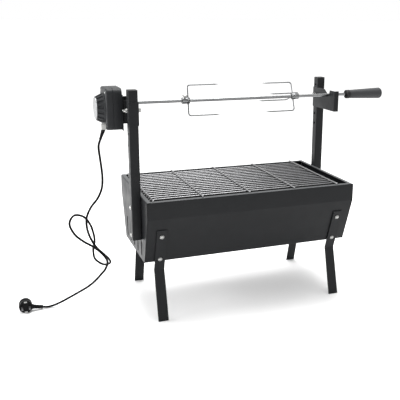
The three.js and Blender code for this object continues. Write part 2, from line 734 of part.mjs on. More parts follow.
function motorMount() {
  const outline = strip(
    [
      [-WEB_FACE - CLEARANCE, MOUNT_HALF],
      [-MOUNT_FACE, MOUNT_HALF],
      [-MOUNT_FACE, -MOUNT_HALF],
      [-WEB_FACE - CLEARANCE, -MOUNT_HALF],
    ],
    BRACKET_SHEET,
    BEND,
  );
  const base = SPIT_HEIGHT - MOUNT_BELOW_SPIT;
  const channel = prism("z", outline, base, base + MOUNT_HEIGHT);
  return cut(channel, spitHole(-MOUNT_FACE - 1, -MOUNT_FACE + BRACKET_SHEET + 1, SLEEVE_HOLE));
}

function motorPlate() {
  const y = MOTOR_WIDTH / 2;
  const base = MOTOR_Z - MOTOR_HEIGHT / 2 - BRACKET_SHEET;
  const plate = box([-PLATE_FACE, -PLATE_FACE + BRACKET_SHEET], [-y, y], [base, base + PLATE_HEIGHT]);
  return cut(plate, spitHole(-PLATE_FACE - 1, -MOUNT_FACE, SLEEVE_HOLE));
}

// A rounded block along -X from start to start + depth, bevelled at its far end or at its near end
function shellBlock(start, depth, inset, bevelled) {
  const bevel = SHELL_BEVEL;
  const [width, height] = [MOTOR_WIDTH - 2 * inset, MOTOR_HEIGHT - 2 * inset];
  const corner = Math.max(SHELL_CORNER - inset, 1);
  const flat = bevelled ? bevel : 0;
  const core = rectangle(0, 0, width - 2 * flat, height - 2 * flat);
  const outline = roundLine(core, Array(4).fill(corner - Math.min(flat, corner - 1)), 4, true);
  const options = bevelled
    ? { bevelEnabled: true, bevelThickness: bevel, bevelSize: bevel, bevelSegments: 2 }
    : {};
  const geometry = prismGeometry(outline, flat, 2 * depth + 4 * bevel, options).applyMatrix4(BASES.x);
  const block = toSolid(geometry.translate(-start - depth, 0, MOTOR_Z));
  const keep = box([-start - depth, -start], [-MOTOR_WIDTH, MOTOR_WIDTH], [0, 2 * POST_TOP]);
  return block.intersect(keep);
}

function rearShell() {
  const block = shellBlock(REAR_SHELL_START, REAR_SHELL_DEPTH, 0, false);
  return cut(block, shellBlock(REAR_SHELL_START - 1, REAR_SHELL_DEPTH + 2, SHELL_WALL, false));
}

function frontShell() {
  const block = shellBlock(FRONT_SHELL_START, FRONT_SHELL_DEPTH, 0, true);
  const cavity = shellBlock(FRONT_SHELL_START - 1, FRONT_SHELL_DEPTH + 1 - SHELL_WALL, SHELL_WALL, true);
  const opening = rod("x", [0, MOTOR_Z], -COVER_START, -FRONT_SHELL_START, COIL + 12, 24);
  return cut(block, cavity, opening);
}

function endCover() {
  const [start, end] = [-COVER_START, -COVER_START - COVER_DEPTH];
  const outside = rod("x", [0, MOTOR_Z], end, start, COVER_TIP, 24, COVER_BASE);
  const cavity = rod("x", [0, MOTOR_Z], end + SHELL_WALL, start + 1, COVER_TIP - 8, 24);
  const [width, depth] = COVER_GROOVE;
  const grooves = Array.from({ length: COVER_GROOVES }, (_, i) => {
    const tipRadius = COVER_TIP / 2 - depth;
    const slant = Math.atan((COVER_BASE - COVER_TIP) / 2 / COVER_DEPTH);
    const geometry = new THREE.BoxGeometry(COVER_DEPTH, width, 20).translate(COVER_DEPTH / 2 + 3, 0, 10);
    geometry.rotateY(-slant).translate(0, 0, tipRadius).rotateX((2 * Math.PI * (i + 0.5)) / COVER_GROOVES);
    return toSolid(geometry.translate(end, 0, MOTOR_Z));
  });
  return cut(outside, cavity, ...grooves);
}

function gearbox() {
  const [width, height] = [MOTOR_WIDTH - 20, MOTOR_HEIGHT - 20];
  const back = FRONT_SHELL_START + 4;
  const block = box(
    [-back, -REAR_SHELL_START],
    [-width / 2, width / 2],
    [MOTOR_Z - height / 2, MOTOR_Z + height / 2],
  );
  return cut(block, spitHole(-SPIT_START - 3, 0, SLEEVE + 2 * CLEARANCE));
}

function driveSleeve() {
  const [start, end] = [-SPIT_START - 3 + CLEARANCE, -PLATE_FACE];
  const bore = prism(
    "x",
    rectangle(0, SPIT_HEIGHT, SPIT_SQUARE + 2 * CLEARANCE, SPIT_SQUARE + 2 * CLEARANCE),
    -SPIT_START - CLEARANCE,
    end + 1,
  );
  return cut(rod("x", [0, SPIT_HEIGHT], start, end, SLEEVE, 16), bore);
}

add(root, "motor_mount", motorMount(), BLACK_STEEL);
add(root, "motor_plate", motorPlate(), BLACK_STEEL);
add(root, "motor_rear_shell", rearShell(), MATTE_BLACK);
add(root, "motor_front_shell", frontShell(), MATTE_BLACK);
add(root, "motor_end_cover", endCover(), MATTE_BLACK);
add(root, "motor_end_disc", rod("x", [0, MOTOR_Z], -MOTOR_END, -DISC_START, DISC, 32), ZINC);
add(root, "gearbox", gearbox(), RAW_STEEL);
const coilStart = FRONT_SHELL_START + 4 + CLEARANCE;
const coilEnd = DISC_START - 2 * SHELL_WALL;
add(root, "motor_coil", rod("x", [0, MOTOR_Z], -coilEnd, -coilStart, COIL, 20), COPPER);
add(root, "drive_sleeve", driveSleeve(), RAW_STEEL);

// ---------------------------------------------------------------- spit and forks

function spitRod() {
  const round = rod("x", [0, SPIT_HEIGHT], -MOUNT_FACE, HANDLE_START + TANG, SPIT, 12);
  const square = prism(
    "x",
    rectangle(0, SPIT_HEIGHT, SPIT_SQUARE, SPIT_SQUARE),
    -SPIT_START,
    -MOUNT_FACE + 1,
  );
  return join(round, square);
}

function onSpit(outer, from, to, sides) {
  const tube = rod("x", [0, SPIT_HEIGHT], from, to, outer, sides);
  return cut(tube, spitHole(from - 1, to + 1, SPIT + 2 * CLEARANCE));
}

function spitHandle() {
  const length = HANDLE_LENGTH;
  const radius = (z) => THREE.MathUtils.lerp(HANDLE_SMALL, HANDLE_LARGE, z / length) / 2;
  const rounding = 6;
  const grip = length - rounding;
  const profile = [
    [0, 0],
    [radius(0) - 1, 0],
    [radius(0), 1.5],
    [radius(grip), grip],
    [radius(grip) - 0.3 * rounding, length - 0.3 * rounding],
    [radius(grip) - rounding, length],
    [0, length],
  ];
  const points = profile.map(([r, z]) => new THREE.Vector2(r, z));
  const geometry = new THREE.LatheGeometry(points, 20).rotateX(Math.PI / 2).applyMatrix4(BASES.x);
  const body = toSolid(geometry.translate(HANDLE_START, 0, SPIT_HEIGHT));
  return cut(body, spitHole(HANDLE_START - 1, HANDLE_START + TANG + CLEARANCE, SPIT + 2 * CLEARANCE));
}

// A wire along a bent line in the XZ plane, made of straight stretches that overlap at the bends
function bentWire(points, diameter, pointLength) {
  const stretches = points.slice(1).map((end, i) => {
    const start = new THREE.Vector3(points[i][0], 0, points[i][1]);
    const along = new THREE.Vector3(end[0], 0, end[1]).sub(start);
    const isLast = i === points.length - 2;
    const overlap = isLast ? -pointLength : 0.2 * diameter;
    const geometry = coneGeometry(-0.2 * diameter, along.length() + overlap, diameter / 2, diameter / 2, 6);
    const turn = new THREE.Quaternion().setFromUnitVectors(UNIT.z, along.clone().normalize());
    return toSolid(geometry.applyQuaternion(turn).translate(start.x, 0, start.z));
  });
  return join(...stretches);
}

const SCREW_X = -(FORK_HUB_LENGTH - FORK_WIRE) * 0.6;
const SCREW_TURN = Math.PI / 4; // between two prongs

// A fork about the X axis, turned about it, whose prongs point to +X from the plane x = 0
function fork(turn) {
  const hubBack = -FORK_HUB_LENGTH + FORK_WIRE;
  const hub = rod("x", [0, 0], hubBack, FORK_WIRE, FORK_HUB, 12);
  const line = [
    [0, FORK_HUB / 2 - 3],
    [0, FORK_REACH - FORK_BEND],
    [0.3 * FORK_BEND, FORK_REACH - 0.3 * FORK_BEND],
    [FORK_BEND, FORK_REACH],
    [FORK_PRONG, FORK_REACH],
  ];
  const prongs = Array.from({ length: 4 }, (_, i) => {
    const wire = toGeometry(bentWire(line, FORK_WIRE, FORK_POINT));
    const pointStart = FORK_PRONG - FORK_POINT - 0.1;
    const point = coneGeometry(pointStart, FORK_PRONG, FORK_WIRE / 2, FORK_WIRE / 10, 6);
    const place = new THREE.Matrix4().makeRotationX(turn + (i * Math.PI) / 2);
    const tip = toSolid(point.applyMatrix4(BASES.x).translate(0, 0, FORK_REACH).applyMatrix4(place));
    return join(toSolid(wire.applyMatrix4(place)), tip);
  });
  const bore = rod("x", [0, 0], hubBack - 1, FORK_WIRE + 1, SPIT + 2 * CLEARANCE, 10);
  const screwRadius = THUMBSCREW / 2 + CLEARANCE;
  const screwHole = coneGeometry(0, FORK_HUB, screwRadius, screwRadius, 10).translate(SCREW_X, 0, 0);
  return cut(join(hub, ...prongs), bore, toSolid(screwHole.rotateX(turn + SCREW_TURN)));
}

function thumbscrew() {
  const headBase = FORK_HUB / 2 + 4;
  const shank = rod("z", [0, 0], SPIT / 2 + CLEARANCE, headBase + 1, THUMBSCREW, 10);
  return join(shank, rod("z", [0, 0], headBase, headBase + THUMBSCREW_HEIGHT, THUMBSCREW_HEAD, 12));
}

// The right fork faces the left one, so its turn counts the other way.
const forks = [
  ["left", LEFT_FORK_X, -LEFT_FORK_TURN],
  ["right", RIGHT_FORK_X, RIGHT_FORK_TURN],
];
for (const [side, x, turn] of forks) {
  const frame = new THREE.Group();
  frame.position.set(x, 0, SPIT_HEIGHT);
  frame.rotation.z = side === "left" ? 0 : HALF_TURN;
  root.add(frame);
  add(frame, `${side}_fork`, fork(turn), CHROME);
  const screw = add(frame, `${side}_fork_thumbscrew`, thumbscrew(), ZINC);
  screw.position.x = SCREW_X;
  screw.rotation.x = turn + SCREW_TURN;
}

add(root, "spit_rod", spitRod(), CHROME);
const collarStart = WEB_FACE + 2;
add(root, "spit_collar", onSpit(COLLAR, collarStart, collarStart + COLLAR_LENGTH, 20), ZINC);
const ferrule = onSpit(HANDLE_SMALL + 1, FERRULE_START, FERRULE_START + FERRULE_LENGTH, 24);
add(root, "handle_ferrule", ferrule, BLACK_STEEL);
add(root, "spit_handle", spitHandle(), MATTE_BLACK);

// ---------------------------------------------------------------- cord and plug

const glandFace = -COVER_START + CLEARANCE;
const [glandDepth, glandWidth, glandHeight] = GLAND_SIZE;
const glandZ = MOTOR_Z - MOTOR_HEIGHT / 2 + GLAND_ABOVE_BASE;
const glandX = glandFace - CLEARANCE - glandDepth / 2;
const cordExit = new THREE.Vector3(glandX, GLAND_Y, glandZ - glandHeight / 2);

// Built about the cord's exit, with the cord leaving towards -Z, and leant outwards together
const cordFrame = new THREE.Group();
cordFrame.position.copy(cordExit);
cordFrame.rotation.y = CORD_LEAN;
root.add(cordFrame);

function cordGland() {
  const block = box(
    [glandFace - CLEARANCE - glandDepth, glandFace - CLEARANCE],
    [GLAND_Y - glandWidth / 2, GLAND_Y + glandWidth / 2],
    [glandZ - glandHeight / 2, glandZ + glandHeight / 2],
  );
  const spout = coneGeometry(-GLAND_COLLAR, 1, CORD * 0.85, CORD * 0.85, 12).rotateY(CORD_LEAN);
  return join(block, toSolid(spout.translate(...cordExit.toArray())));
}

add(root, "cord_gland", cordGland(), GREY_PLASTIC);
const reliefStart = -GLAND_COLLAR - CLEARANCE;
const relief = rod("z", [0, 0], reliefStart - RELIEF, reliefStart, 1.1 * CORD, 12, 1.5 * CORD);
add(cordFrame, "strain_relief", relief, BLACK_RUBBER);

function mainsCord() {
  const sides = 8;
  const section = new THREE.Shape(
    Array.from({ length: sides }, (_, i) => {
      const angle = (2 * Math.PI * i) / sides;
      return new THREE.Vector2((CORD / 2) * Math.cos(angle), (CORD / 2) * Math.sin(angle));
    }),
  );
  const points = CORD_ROUTE.map((point) => new THREE.Vector3(...point));
  const route = new THREE.CatmullRomCurve3(points, false, "centripetal");
  const steps = Math.round(route.getLength() / (2.8 * CORD));
  return toSolid(new THREE.ExtrudeGeometry(section, { steps, bevelEnabled: false, extrudePath: route }));
}

add(root, "mains_cord", mainsCord(), BLACK_RUBBER);

const cordEnd = new THREE.Vector3(...CORD_ROUTE.at(-1));
const plugX = cordEnd.x + PLUG_FROM_CORD[0];
const plugY = cordEnd.y + PLUG_FROM_CORD[1];
const plugZ = PLUG / 2 + CLEARANCE;

function plugBody() {
  const disc = rod("y", [plugZ, plugX], plugY, plugY + PLUG_DEPTH, PLUG, 24);
  const backStart = plugY + PLUG_DEPTH - 0.5;
  const back = rod("y", [plugZ, plugX], backStart, backStart + 6.5, PLUG, 24, 0.7 * PLUG);
  const inside = new THREE.Vector3(plugX + 0.2 * PLUG, cordEnd.y, plugZ - 0.12 * PLUG);
  const along = cordEnd.clone().sub(inside);
  const length = along.length() - CLEARANCE;
  const sleeve = coneGeometry(0, length, CORD * 1.1, CORD * 0.75, 12);
  sleeve.applyQuaternion(new THREE.Quaternion().setFromUnitVectors(UNIT.z, along.normalize()));
  return join(disc, back, toSolid(sleeve.translate(...inside.toArray())));
}

add(root, "plug_body", plugBody(), BLACK_RUBBER);
for (const [side, sign] of [["left", -1], ["right", 1]]) {
  const x = plugX + (sign * PIN_PITCH) / 2;
  const pin = rod("y", [plugZ, x], plugY - CLEARANCE - PIN_LENGTH, plugY - CLEARANCE, PIN, 12);
  add(root, `plug_pin_${side}`, pin, ZINC);
}
for (const [side, sign] of [["lower", -1], ["upper", 1]]) {
  const z = plugZ + sign * 0.4 * PLUG;
  const contact = box([plugX - 4, plugX + 4], [plugY - CLEARANCE - 1, plugY - CLEARANCE], [z - 2, z + 2]);
  add(root, `plug_earth_contact_${side}`, contact, ZINC);
}

root.position.x = -ORIGIN_X;
root.updateMatrixWorld(true);

export default root;
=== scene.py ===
"""Looks of the charcoal spit roaster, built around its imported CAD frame. Metres, +Z up."""

import json
import math

import bmesh
import bpy
from mathutils import Matrix, Vector

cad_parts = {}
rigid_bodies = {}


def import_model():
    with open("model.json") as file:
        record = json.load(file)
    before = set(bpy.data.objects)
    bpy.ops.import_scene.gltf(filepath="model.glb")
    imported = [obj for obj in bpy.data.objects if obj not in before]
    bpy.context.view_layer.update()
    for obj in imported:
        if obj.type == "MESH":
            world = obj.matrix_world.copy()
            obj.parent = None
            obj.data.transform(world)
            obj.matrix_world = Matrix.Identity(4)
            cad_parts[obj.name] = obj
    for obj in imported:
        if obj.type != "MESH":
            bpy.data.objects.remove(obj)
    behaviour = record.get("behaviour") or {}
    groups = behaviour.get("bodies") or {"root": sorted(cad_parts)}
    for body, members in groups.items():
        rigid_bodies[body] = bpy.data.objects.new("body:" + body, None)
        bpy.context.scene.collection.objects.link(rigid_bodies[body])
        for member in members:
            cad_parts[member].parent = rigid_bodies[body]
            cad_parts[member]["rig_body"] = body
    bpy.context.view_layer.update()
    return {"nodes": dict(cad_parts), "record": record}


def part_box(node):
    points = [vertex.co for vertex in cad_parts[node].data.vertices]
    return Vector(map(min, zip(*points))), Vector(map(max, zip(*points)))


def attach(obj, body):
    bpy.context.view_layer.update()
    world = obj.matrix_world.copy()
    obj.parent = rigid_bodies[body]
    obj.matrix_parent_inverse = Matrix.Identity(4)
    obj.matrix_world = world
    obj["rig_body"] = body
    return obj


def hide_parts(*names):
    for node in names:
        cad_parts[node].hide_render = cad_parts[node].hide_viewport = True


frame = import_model()
NODES = frame["nodes"]
MM = 0.001
X_AXIS, Y_AXIS, Z_AXIS = Vector((1, 0, 0)), Vector((0, 1, 0)), Vector((0, 0, 1))

# ------------------------------------------------------------------ camera

CAMERA_PLACE = (-0.7012, -1.7258, 0.8065)
CAMERA_YAW, CAMERA_PITCH, CAMERA_ROLL = (math.radians(a) for a in (21.63, 14.38, 0.57))
CAMERA_LENS = 58.82
CAMERA_SHIFT = (-0.107, -0.0486)


def make_camera():
    forward = Vector(
        (
            math.sin(CAMERA_YAW) * math.cos(CAMERA_PITCH),
            math.cos(CAMERA_YAW) * math.cos(CAMERA_PITCH),
            -math.sin(CAMERA_PITCH),
        )
    )
    level = forward.cross(Z_AXIS).normalized()
    upright = level.cross(forward)
    right = level * math.cos(CAMERA_ROLL) + upright * math.sin(CAMERA_ROLL)
    up = upright * math.cos(CAMERA_ROLL) - level * math.sin(CAMERA_ROLL)
    data = bpy.data.cameras.new("camera")
    data.lens = CAMERA_LENS
    data.shift_x, data.shift_y = CAMERA_SHIFT
    camera = bpy.data.objects.new("camera", data)
    rotation = Matrix((right, up, -forward)).transposed().to_4x4()
    camera.matrix_world = Matrix.Translation(CAMERA_PLACE) @ rotation
    bpy.context.scene.collection.objects.link(camera)
    bpy.context.scene.camera = camera


make_camera()

# ------------------------------------------------------------------ mesh helpers


def make_object(name, vertices, faces, sharp=35):
    mesh = bpy.data.meshes.new(name)
    mesh.from_pydata([tuple(v) for v in vertices], [], faces)
    return link(name, mesh, sharp)


def link(name, mesh, sharp=35):
    tidy = bmesh.new()
    tidy.from_mesh(mesh)
    bmesh.ops.remove_doubles(tidy, verts=tidy.verts, dist=1e-6)
    bmesh.ops.recalc_face_normals(tidy, faces=tidy.faces)
    tidy.to_mesh(mesh)
    tidy.free()
    shade(mesh, sharp)
    piece = bpy.data.objects.new(name, mesh)
    bpy.context.scene.collection.objects.link(piece)
    return piece


def shade(mesh, sharp):
    mesh.polygons.foreach_set("use_smooth", [True] * len(mesh.polygons))
    mesh.set_sharp_from_angle(angle=math.radians(sharp))
    mesh.update()


def loft(name, rings, closed=False, sharp=35):
    """Joins rings of equally many points. An open loft gets caps.

    A closed loft joins its last ring to its first.
    """
    count = len(rings[0])
    vertices = [point for ring in rings for point in ring]
    spans = len(rings) if closed else len(rings) - 1
    faces = []
    for i in range(spans):
        low, high = i * count, ((i + 1) % len(rings)) * count
        for k in range(count):
            after = (k + 1) % count
            faces.append((low + k, low + after, high + after, high + k))
    if not closed:
        last = (len(rings) - 1) * count
        faces.append(tuple(reversed(range(count))))
        faces.append(tuple(range(last, last + count)))
    return make_object(name, vertices, faces, sharp)


def basis_along(direction):
    """Two unit vectors square to a direction, the first as level as can be."""
    direction = direction.normalized()
    level = direction.cross(Z_AXIS)
    if level.length < 1e-3:
        level = Vector((1, 0, 0))
    level.normalize()
    return level, direction.cross(level).normalized()


def ring_at(centre, direction, radius, sides, turn=0.0):
    u, v = basis_along(direction)
    angles = [turn + 2 * math.pi * k / sides for k in range(sides)]
    return [centre + (u * math.cos(a) + v * math.sin(a)) * radius for a in angles]


def turned(name, base, direction, profile, sides=32, sharp=35):
    """A turned piece: profile holds (radius, height along direction from base), first to last."""
    direction = direction.normalized()
    rings = [ring_at(base + direction * t, direction, max(r, 2e-5), sides) for r, t in profile]
    return loft(name, rings, sharp=sharp)


def turned_tube(name, base, direction, profile, sides=32, sharp=35):
    """As turned, for a closed profile around a bore."""
    direction = direction.normalized()
    rings = [ring_at(base + direction * t, direction, r, sides) for r, t in profile]
    return loft(name, rings, closed=True, sharp=sharp)


def wire(name, points, radii, sides=12):
    """A round wire along points. radii is one radius, or one for each point."""
    if not isinstance(radii, (list, tuple)):
        radii = [radii] * len(points)
    tangents = []
    for i in range(len(points)):
        before, after = points[max(i - 1, 0)], points[min(i + 1, len(points) - 1)]
        tangents.append((after - before).normalized())
    side, _ = basis_along(tangents[0])
    rings = []
    for point, tangent, radius in zip(points, tangents, radii):
        side = (side - tangent * side.dot(tangent)).normalized()
        other = tangent.cross(side)
        angles = [2 * math.pi * k / sides for k in range(sides)]
        rings.append([point + (side * math.cos(a) + other * math.sin(a)) * radius for a in angles])
    return loft(name, rings, sharp=60)


def joined(name, pieces, sharp=35):
    """One object from several."""
    merged = bmesh.new()
    for piece in pieces:
        merged.from_mesh(piece.data)
        bpy.data.objects.remove(piece)
    mesh = bpy.data.meshes.new(name)
    merged.to_mesh(mesh)
    merged.free()
    shade(mesh, sharp)
    result = bpy.data.objects.new(name, mesh)
    bpy.context.scene.collection.objects.link(result)
    return result


def cut(piece, cutter):
    """Takes the cutter out of the piece and removes the cutter."""
    modifier = piece.modifiers.new("cut", "BOOLEAN")
    modifier.operation, modifier.solver, modifier.object = "DIFFERENCE", "EXACT", cutter
    graph = bpy.context.evaluated_depsgraph_get()
    result = bpy.data.meshes.new_from_object(piece.evaluated_get(graph))
    piece.modifiers.clear()
    piece.data = result
    bpy.data.objects.remove(cutter)
    return piece


def bevel(piece, width, segments=2, angle=40):
    modifier = piece.modifiers.new("edges", "BEVEL")
    modifier.width, modifier.segments = width, segments
    modifier.limit_method, modifier.angle_limit = "ANGLE", math.radians(angle)
    modifier.harden_normals = True
    return piece


def round_corner(corner, before, after, radius, steps):
    """Points of the arc that rounds a corner of a line through before, corner and after."""
    to_before, to_after = (before - corner).normalized(), (after - corner).normalized()
    half = to_before.angle(to_after) / 2
    reach = radius / math.tan(half)
    centre = corner + (to_before + to_after).normalized() * (radius / math.sin(half))
    start, end = corner + to_before * reach - centre, corner + to_after * reach - centre
    return [centre + start.slerp(end, i / steps).normalized() * radius for i in range(steps + 1)]


def rounded_rectangle(width, height, radius, steps=8):
    """Outline of a rounded rectangle about the origin, as (a, b) points."""
    outline = []
    for quarter, (sa, sb) in enumerate(((1, 1), (-1, 1), (-1, -1), (1, -1))):
        centre = (sa * (width / 2 - radius), sb * (height / 2 - radius))
        for i in range(steps + 1):
            angle = math.pi / 2 * (quarter + i / steps)
            outline.append((centre[0] + radius * math.cos(angle), centre[1] + radius * math.sin(angle)))
    return outline


# ------------------------------------------------------------------ materials

NOISE_LOW, NOISE_HIGH = 0.3, 0.7  # between these lies most of a noise


class Nodes:
    """A Principled material under construction."""

    def __init__(self, name):
        self.material = bpy.data.materials.new(name)
        self.material.use_nodes = True
        self.tree = self.material.node_tree
        self.shader = self.tree.nodes["Principled BSDF"]
        self.place = self.add("ShaderNodeTexCoord").outputs["Object"]

    def add(self, kind, **settings):
        node = self.tree.nodes.new(kind)
        for key, value in settings.items():
            setattr(node, key, value)
        return node

    def link(self, output, target):
        self.tree.links.new(output, target)

    def noise(self, scale, detail=3.0, roughness=0.5, stretch=(1, 1, 1)):
        mapping = self.add("ShaderNodeMapping")
        mapping.inputs["Scale"].default_value = stretch
        self.link(self.place, mapping.inputs["Vector"])
        node = self.add("ShaderNodeTexNoise")
        node.inputs["Scale"].default_value = scale
        node.inputs["Detail"].default_value = detail
        node.inputs["Roughness"].default_value = roughness
        self.link(mapping.outputs["Vector"], node.inputs["Vector"])
        return node.outputs["Fac"]

    def ramp(self, value, stops):
        node = self.add("ShaderNodeValToRGB")
        elements = node.color_ramp.elements
        while len(elements) < len(stops):
            elements.new(0.5)
        for element, (position, colour) in zip(elements, stops):
            element.position = position
            element.color = (*colour, 1) if len(colour) == 3 else colour
        self.link(value, node.inputs["Fac"])
        return node.outputs["Color"]

    def spread(self, value, low, high):
        """Spreads the middle of a noise over low to high."""
        node = self.add("ShaderNodeMapRange")
        node.inputs["From Min"].default_value = NOISE_LOW
        node.inputs["From Max"].default_value = NOISE_HIGH
        node.inputs["To Min"].default_value = low
        node.inputs["To Max"].default_value = high
        self.link(value, node.inputs["Value"])
        return node.outputs["Result"]

    def mix(self, factor, first, second):
        node = self.add("ShaderNodeMix", data_type="RGBA")
        self.link(factor, node.inputs["Factor"])
        for socket, value in ((node.inputs[6], first), (node.inputs[7], second)):
            if isinstance(value, tuple):
                socket.default_value = (*value, 1)
            else:
                self.link(value, socket)
        return node.outputs[2]

    def bump(self, *layers):
        """Stacks (height, strength, distance) layers into the shader's normal."""
        normal = None
        for height, strength, distance in layers:
            node = self.add("ShaderNodeBump")
            node.inputs["Strength"].default_value = strength
            node.inputs["Distance"].default_value = distance
            self.link(height, node.inputs["Height"])
            if normal:
                self.link(normal, node.inputs["Normal"])
            normal = node.outputs["Normal"]
        self.link(normal, self.shader.inputs["Normal"])


NO_LIGHT = (0, 0, 0)
FULL_LIGHT = (1, 1, 1)
# Painted highlight: the lighter grey that upward faces of the coating are mixed towards, standing in for
# light from above.
PAINTED_TOP_LIGHT_COLOUR = (0.16, 0.165, 0.17)


def shades(colour, share):
    """A colour's darker and lighter variant."""
    return tuple(c * (1 - share) for c in colour), tuple(c * (1 + share) for c in colour)


def coated_steel(name, colour, roughness=(0.36, 0.5), painted_top_light=0.05):
    """Heat-resistant black coating: orange peel, faint blotches, a few scuffs, and a painted highlight
    that lightens upward faces as if lit from above.
    """
    m = Nodes(name)
    dark, light = shades(colour, 0.22)
    blotches = m.mix(m.noise(9, 4), dark, light)
    scratches = m.noise(70, 6, 0.7, (0.35, 1, 2.6))
    scuffs = m.ramp(scratches, [(0.0, NO_LIGHT), (0.66, NO_LIGHT), (0.74, FULL_LIGHT)])
    scuffed = m.mix(scuffs, blotches, tuple(c * 2.0 + 0.004 for c in colour))
    up = m.add("ShaderNodeSeparateXYZ")
    m.link(m.add("ShaderNodeNewGeometry").outputs["Normal"], up.inputs["Vector"])
    # Painted highlight: faces that point up are mixed towards a lighter grey, as if lit from above.
    level = m.ramp(up.outputs["Z"], [(0.55, NO_LIGHT), (1.0, (painted_top_light * 8,) * 3)])
    m.link(m.mix(level, scuffed, PAINTED_TOP_LIGHT_COLOUR), m.shader.inputs["Base Color"])
    m.link(m.spread(m.noise(26, 5), *roughness), m.shader.inputs["Roughness"])
    m.shader.inputs["Specular IOR Level"].default_value = 0.18
    m.bump((m.noise(1400, 2), 0.22, 0.00012), (m.noise(260, 2), 0.12, 0.0003))
    return m.material


def bright_metal(name, colour, roughness, streaks=(1, 1, 1), grain=900, depth=0.05):
    m = Nodes(name)
    dark, light = shades(colour, 0.09)
    m.link(m.mix(m.noise(30, 5, 0.6, streaks), dark, light), m.shader.inputs["Base Color"])
    m.link(m.spread(m.noise(55, 4, 0.6, streaks), *roughness), m.shader.inputs["Roughness"])
    m.shader.inputs["Metallic"].default_value = 1.0
    m.bump((m.noise(grain, 3, 0.6, streaks), depth, 0.0001))
    return m.material


def moulded(name, colour, roughness, grain=2200, depth=0.18, stretch=(1, 1, 1), specular=0.26):
    """Matt moulded plastic or soft PVC: fine grain and a soft sheen that varies."""
    m = Nodes(name)
    dark, light = shades(colour, 0.15)
    m.link(m.mix(m.noise(14, 4), dark, light), m.shader.inputs["Base Color"])
    m.link(m.spread(m.noise(45, 4), *roughness), m.shader.inputs["Roughness"])
    m.shader.inputs["Specular IOR Level"].default_value = specular
    m.bump((m.noise(grain, 2, 0.5, stretch), depth, 0.0001), (m.noise(120, 2), 0.05, 0.0004))
    return m.material


def spun_disc(name, centre):
    """Aluminium turned on its face: fine rings about the disc's axis."""
    m = Nodes(name)
    mapping = m.add("ShaderNodeMapping")
    mapping.inputs["Location"].default_value = tuple(-c for c in centre)
    m.link(m.place, mapping.inputs["Vector"])
    rings = m.add("ShaderNodeTexWave", wave_type="RINGS", rings_direction="X")
    rings.inputs["Scale"].default_value = 420
    rings.inputs["Distortion"].default_value = 0.4
    m.link(mapping.outputs["Vector"], rings.inputs["Vector"])
    colour = m.mix(rings.outputs["Fac"], (0.24, 0.243, 0.248), (0.32, 0.325, 0.33))
    m.link(colour, m.shader.inputs["Base Color"])
    m.link(m.spread(m.noise(60, 4), 0.22, 0.34), m.shader.inputs["Roughness"])
    m.shader.inputs["Metallic"].default_value = 1.0
    m.bump((rings.outputs["Fac"], 0.12, 0.00005))
    return m.material


ENAMEL = coated_steel("black_enamel", (0.0062, 0.0068, 0.0078))
INNER_STEEL = coated_steel("sooty_steel", (0.012, 0.012, 0.0115), (0.5, 0.7), 0.0)
CHROME = bright_metal("chrome", (0.17, 0.173, 0.176), (0.10, 0.24), (0.4, 3, 3))
ROD_CHROME = bright_metal("rod_chrome", (0.20, 0.203, 0.206), (0.12, 0.26), (0.4, 3, 3))
GRID_CHROME = bright_metal("grid_chrome", (0.25, 0.25, 0.255), (0.26, 0.36), (0.3, 1, 1), 200, 0.02)
ZINC = bright_metal("zinc", (0.36, 0.36, 0.352), (0.24, 0.42), grain=500, depth=0.12)
RAW_STEEL = bright_metal("raw_steel", (0.12, 0.12, 0.125), (0.35, 0.55), grain=500, depth=0.15)
COPPER = bright_metal("copper", (0.62, 0.30, 0.16), (0.25, 0.4), (8, 1, 1))
MOTOR_PLASTIC = moulded("motor_plastic", (0.010, 0.011, 0.0125), (0.42, 0.56))
HANDLE_PLASTIC = moulded("handle_plastic", (0.030, 0.031, 0.033), (0.42, 0.6), 1300, 0.3, (0.2, 1, 1))
CAP_PLASTIC = moulded("cap_plastic", (0.008, 0.008, 0.0085), (0.45, 0.6))
GREY_PLASTIC = moulded("grey_plastic", (0.36, 0.36, 0.35), (0.4, 0.55))
PVC = moulded("black_pvc", (0.0025, 0.0025, 0.003), (0.4, 0.52), 900, 0.08, specular=0.09)

# ------------------------------------------------------------------ pieces and their nodes


def fit(piece, look, body, slot, *nodes):
    """Gives a piece its material and body, and lets it stand for its CAD nodes. The slot is not used."""
    piece.data.materials.clear()
    piece.data.materials.append(look)
    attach(piece, body)
    if nodes:
        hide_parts(*nodes)
    return piece


def body_of(node):
    return NODES[node]["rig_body"]


SLOTS = {row["node"]: row["material_slot"] for row in frame["record"]["subparts"]}


def refined(node, look, width, segments=2, sharp=50, angle=60):
    """A piece with a CAD node's own shape and broken edges."""
    mesh = NODES[node].data.copy()
    mesh.materials.clear()
    shape = bmesh.new()
    shape.from_mesh(mesh)
    bmesh.ops.remove_doubles(shape, verts=shape.verts, dist=1e-6)
    edges, corners = shape.edges[:], shape.verts[:]
    bmesh.ops.dissolve_limit(shape, angle_limit=math.radians(0.5), verts=corners, edges=edges)
    shape.to_mesh(mesh)
    shape.free()
    piece = link(f"{node}_finished", mesh, sharp)
    if width:
        bevel(piece, width, segments, angle)
    return fit(piece, look, body_of(node), SLOTS[node], node)


def middle(node):
    low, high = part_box(node)
    return (low + high) / 2


def axis_span(node, direction):
    """The point of a node's axis nearest the origin, and where the node starts and ends along the axis."""
    direction = direction.normalized()
    u, v = basis_along(direction)
    corners = [vertex.co for vertex in NODES[node].data.vertices]

    def span(axis):
        values = [corner.dot(axis) for corner in corners]
        return min(values), max(values)

    (u0, u1), (v0, v1), (start, end) = span(u), span(v), span(direction)
    return u * (u0 + u1) / 2 + v * (v0 + v1) / 2, start, end


SPIT_Z = middle("spit_rod").z
SPIT_RADIUS = 4.5 * MM
SPIT_BORE = SPIT_RADIUS + 0.2 * MM

# ------------------------------------------------------------------ cord and plug

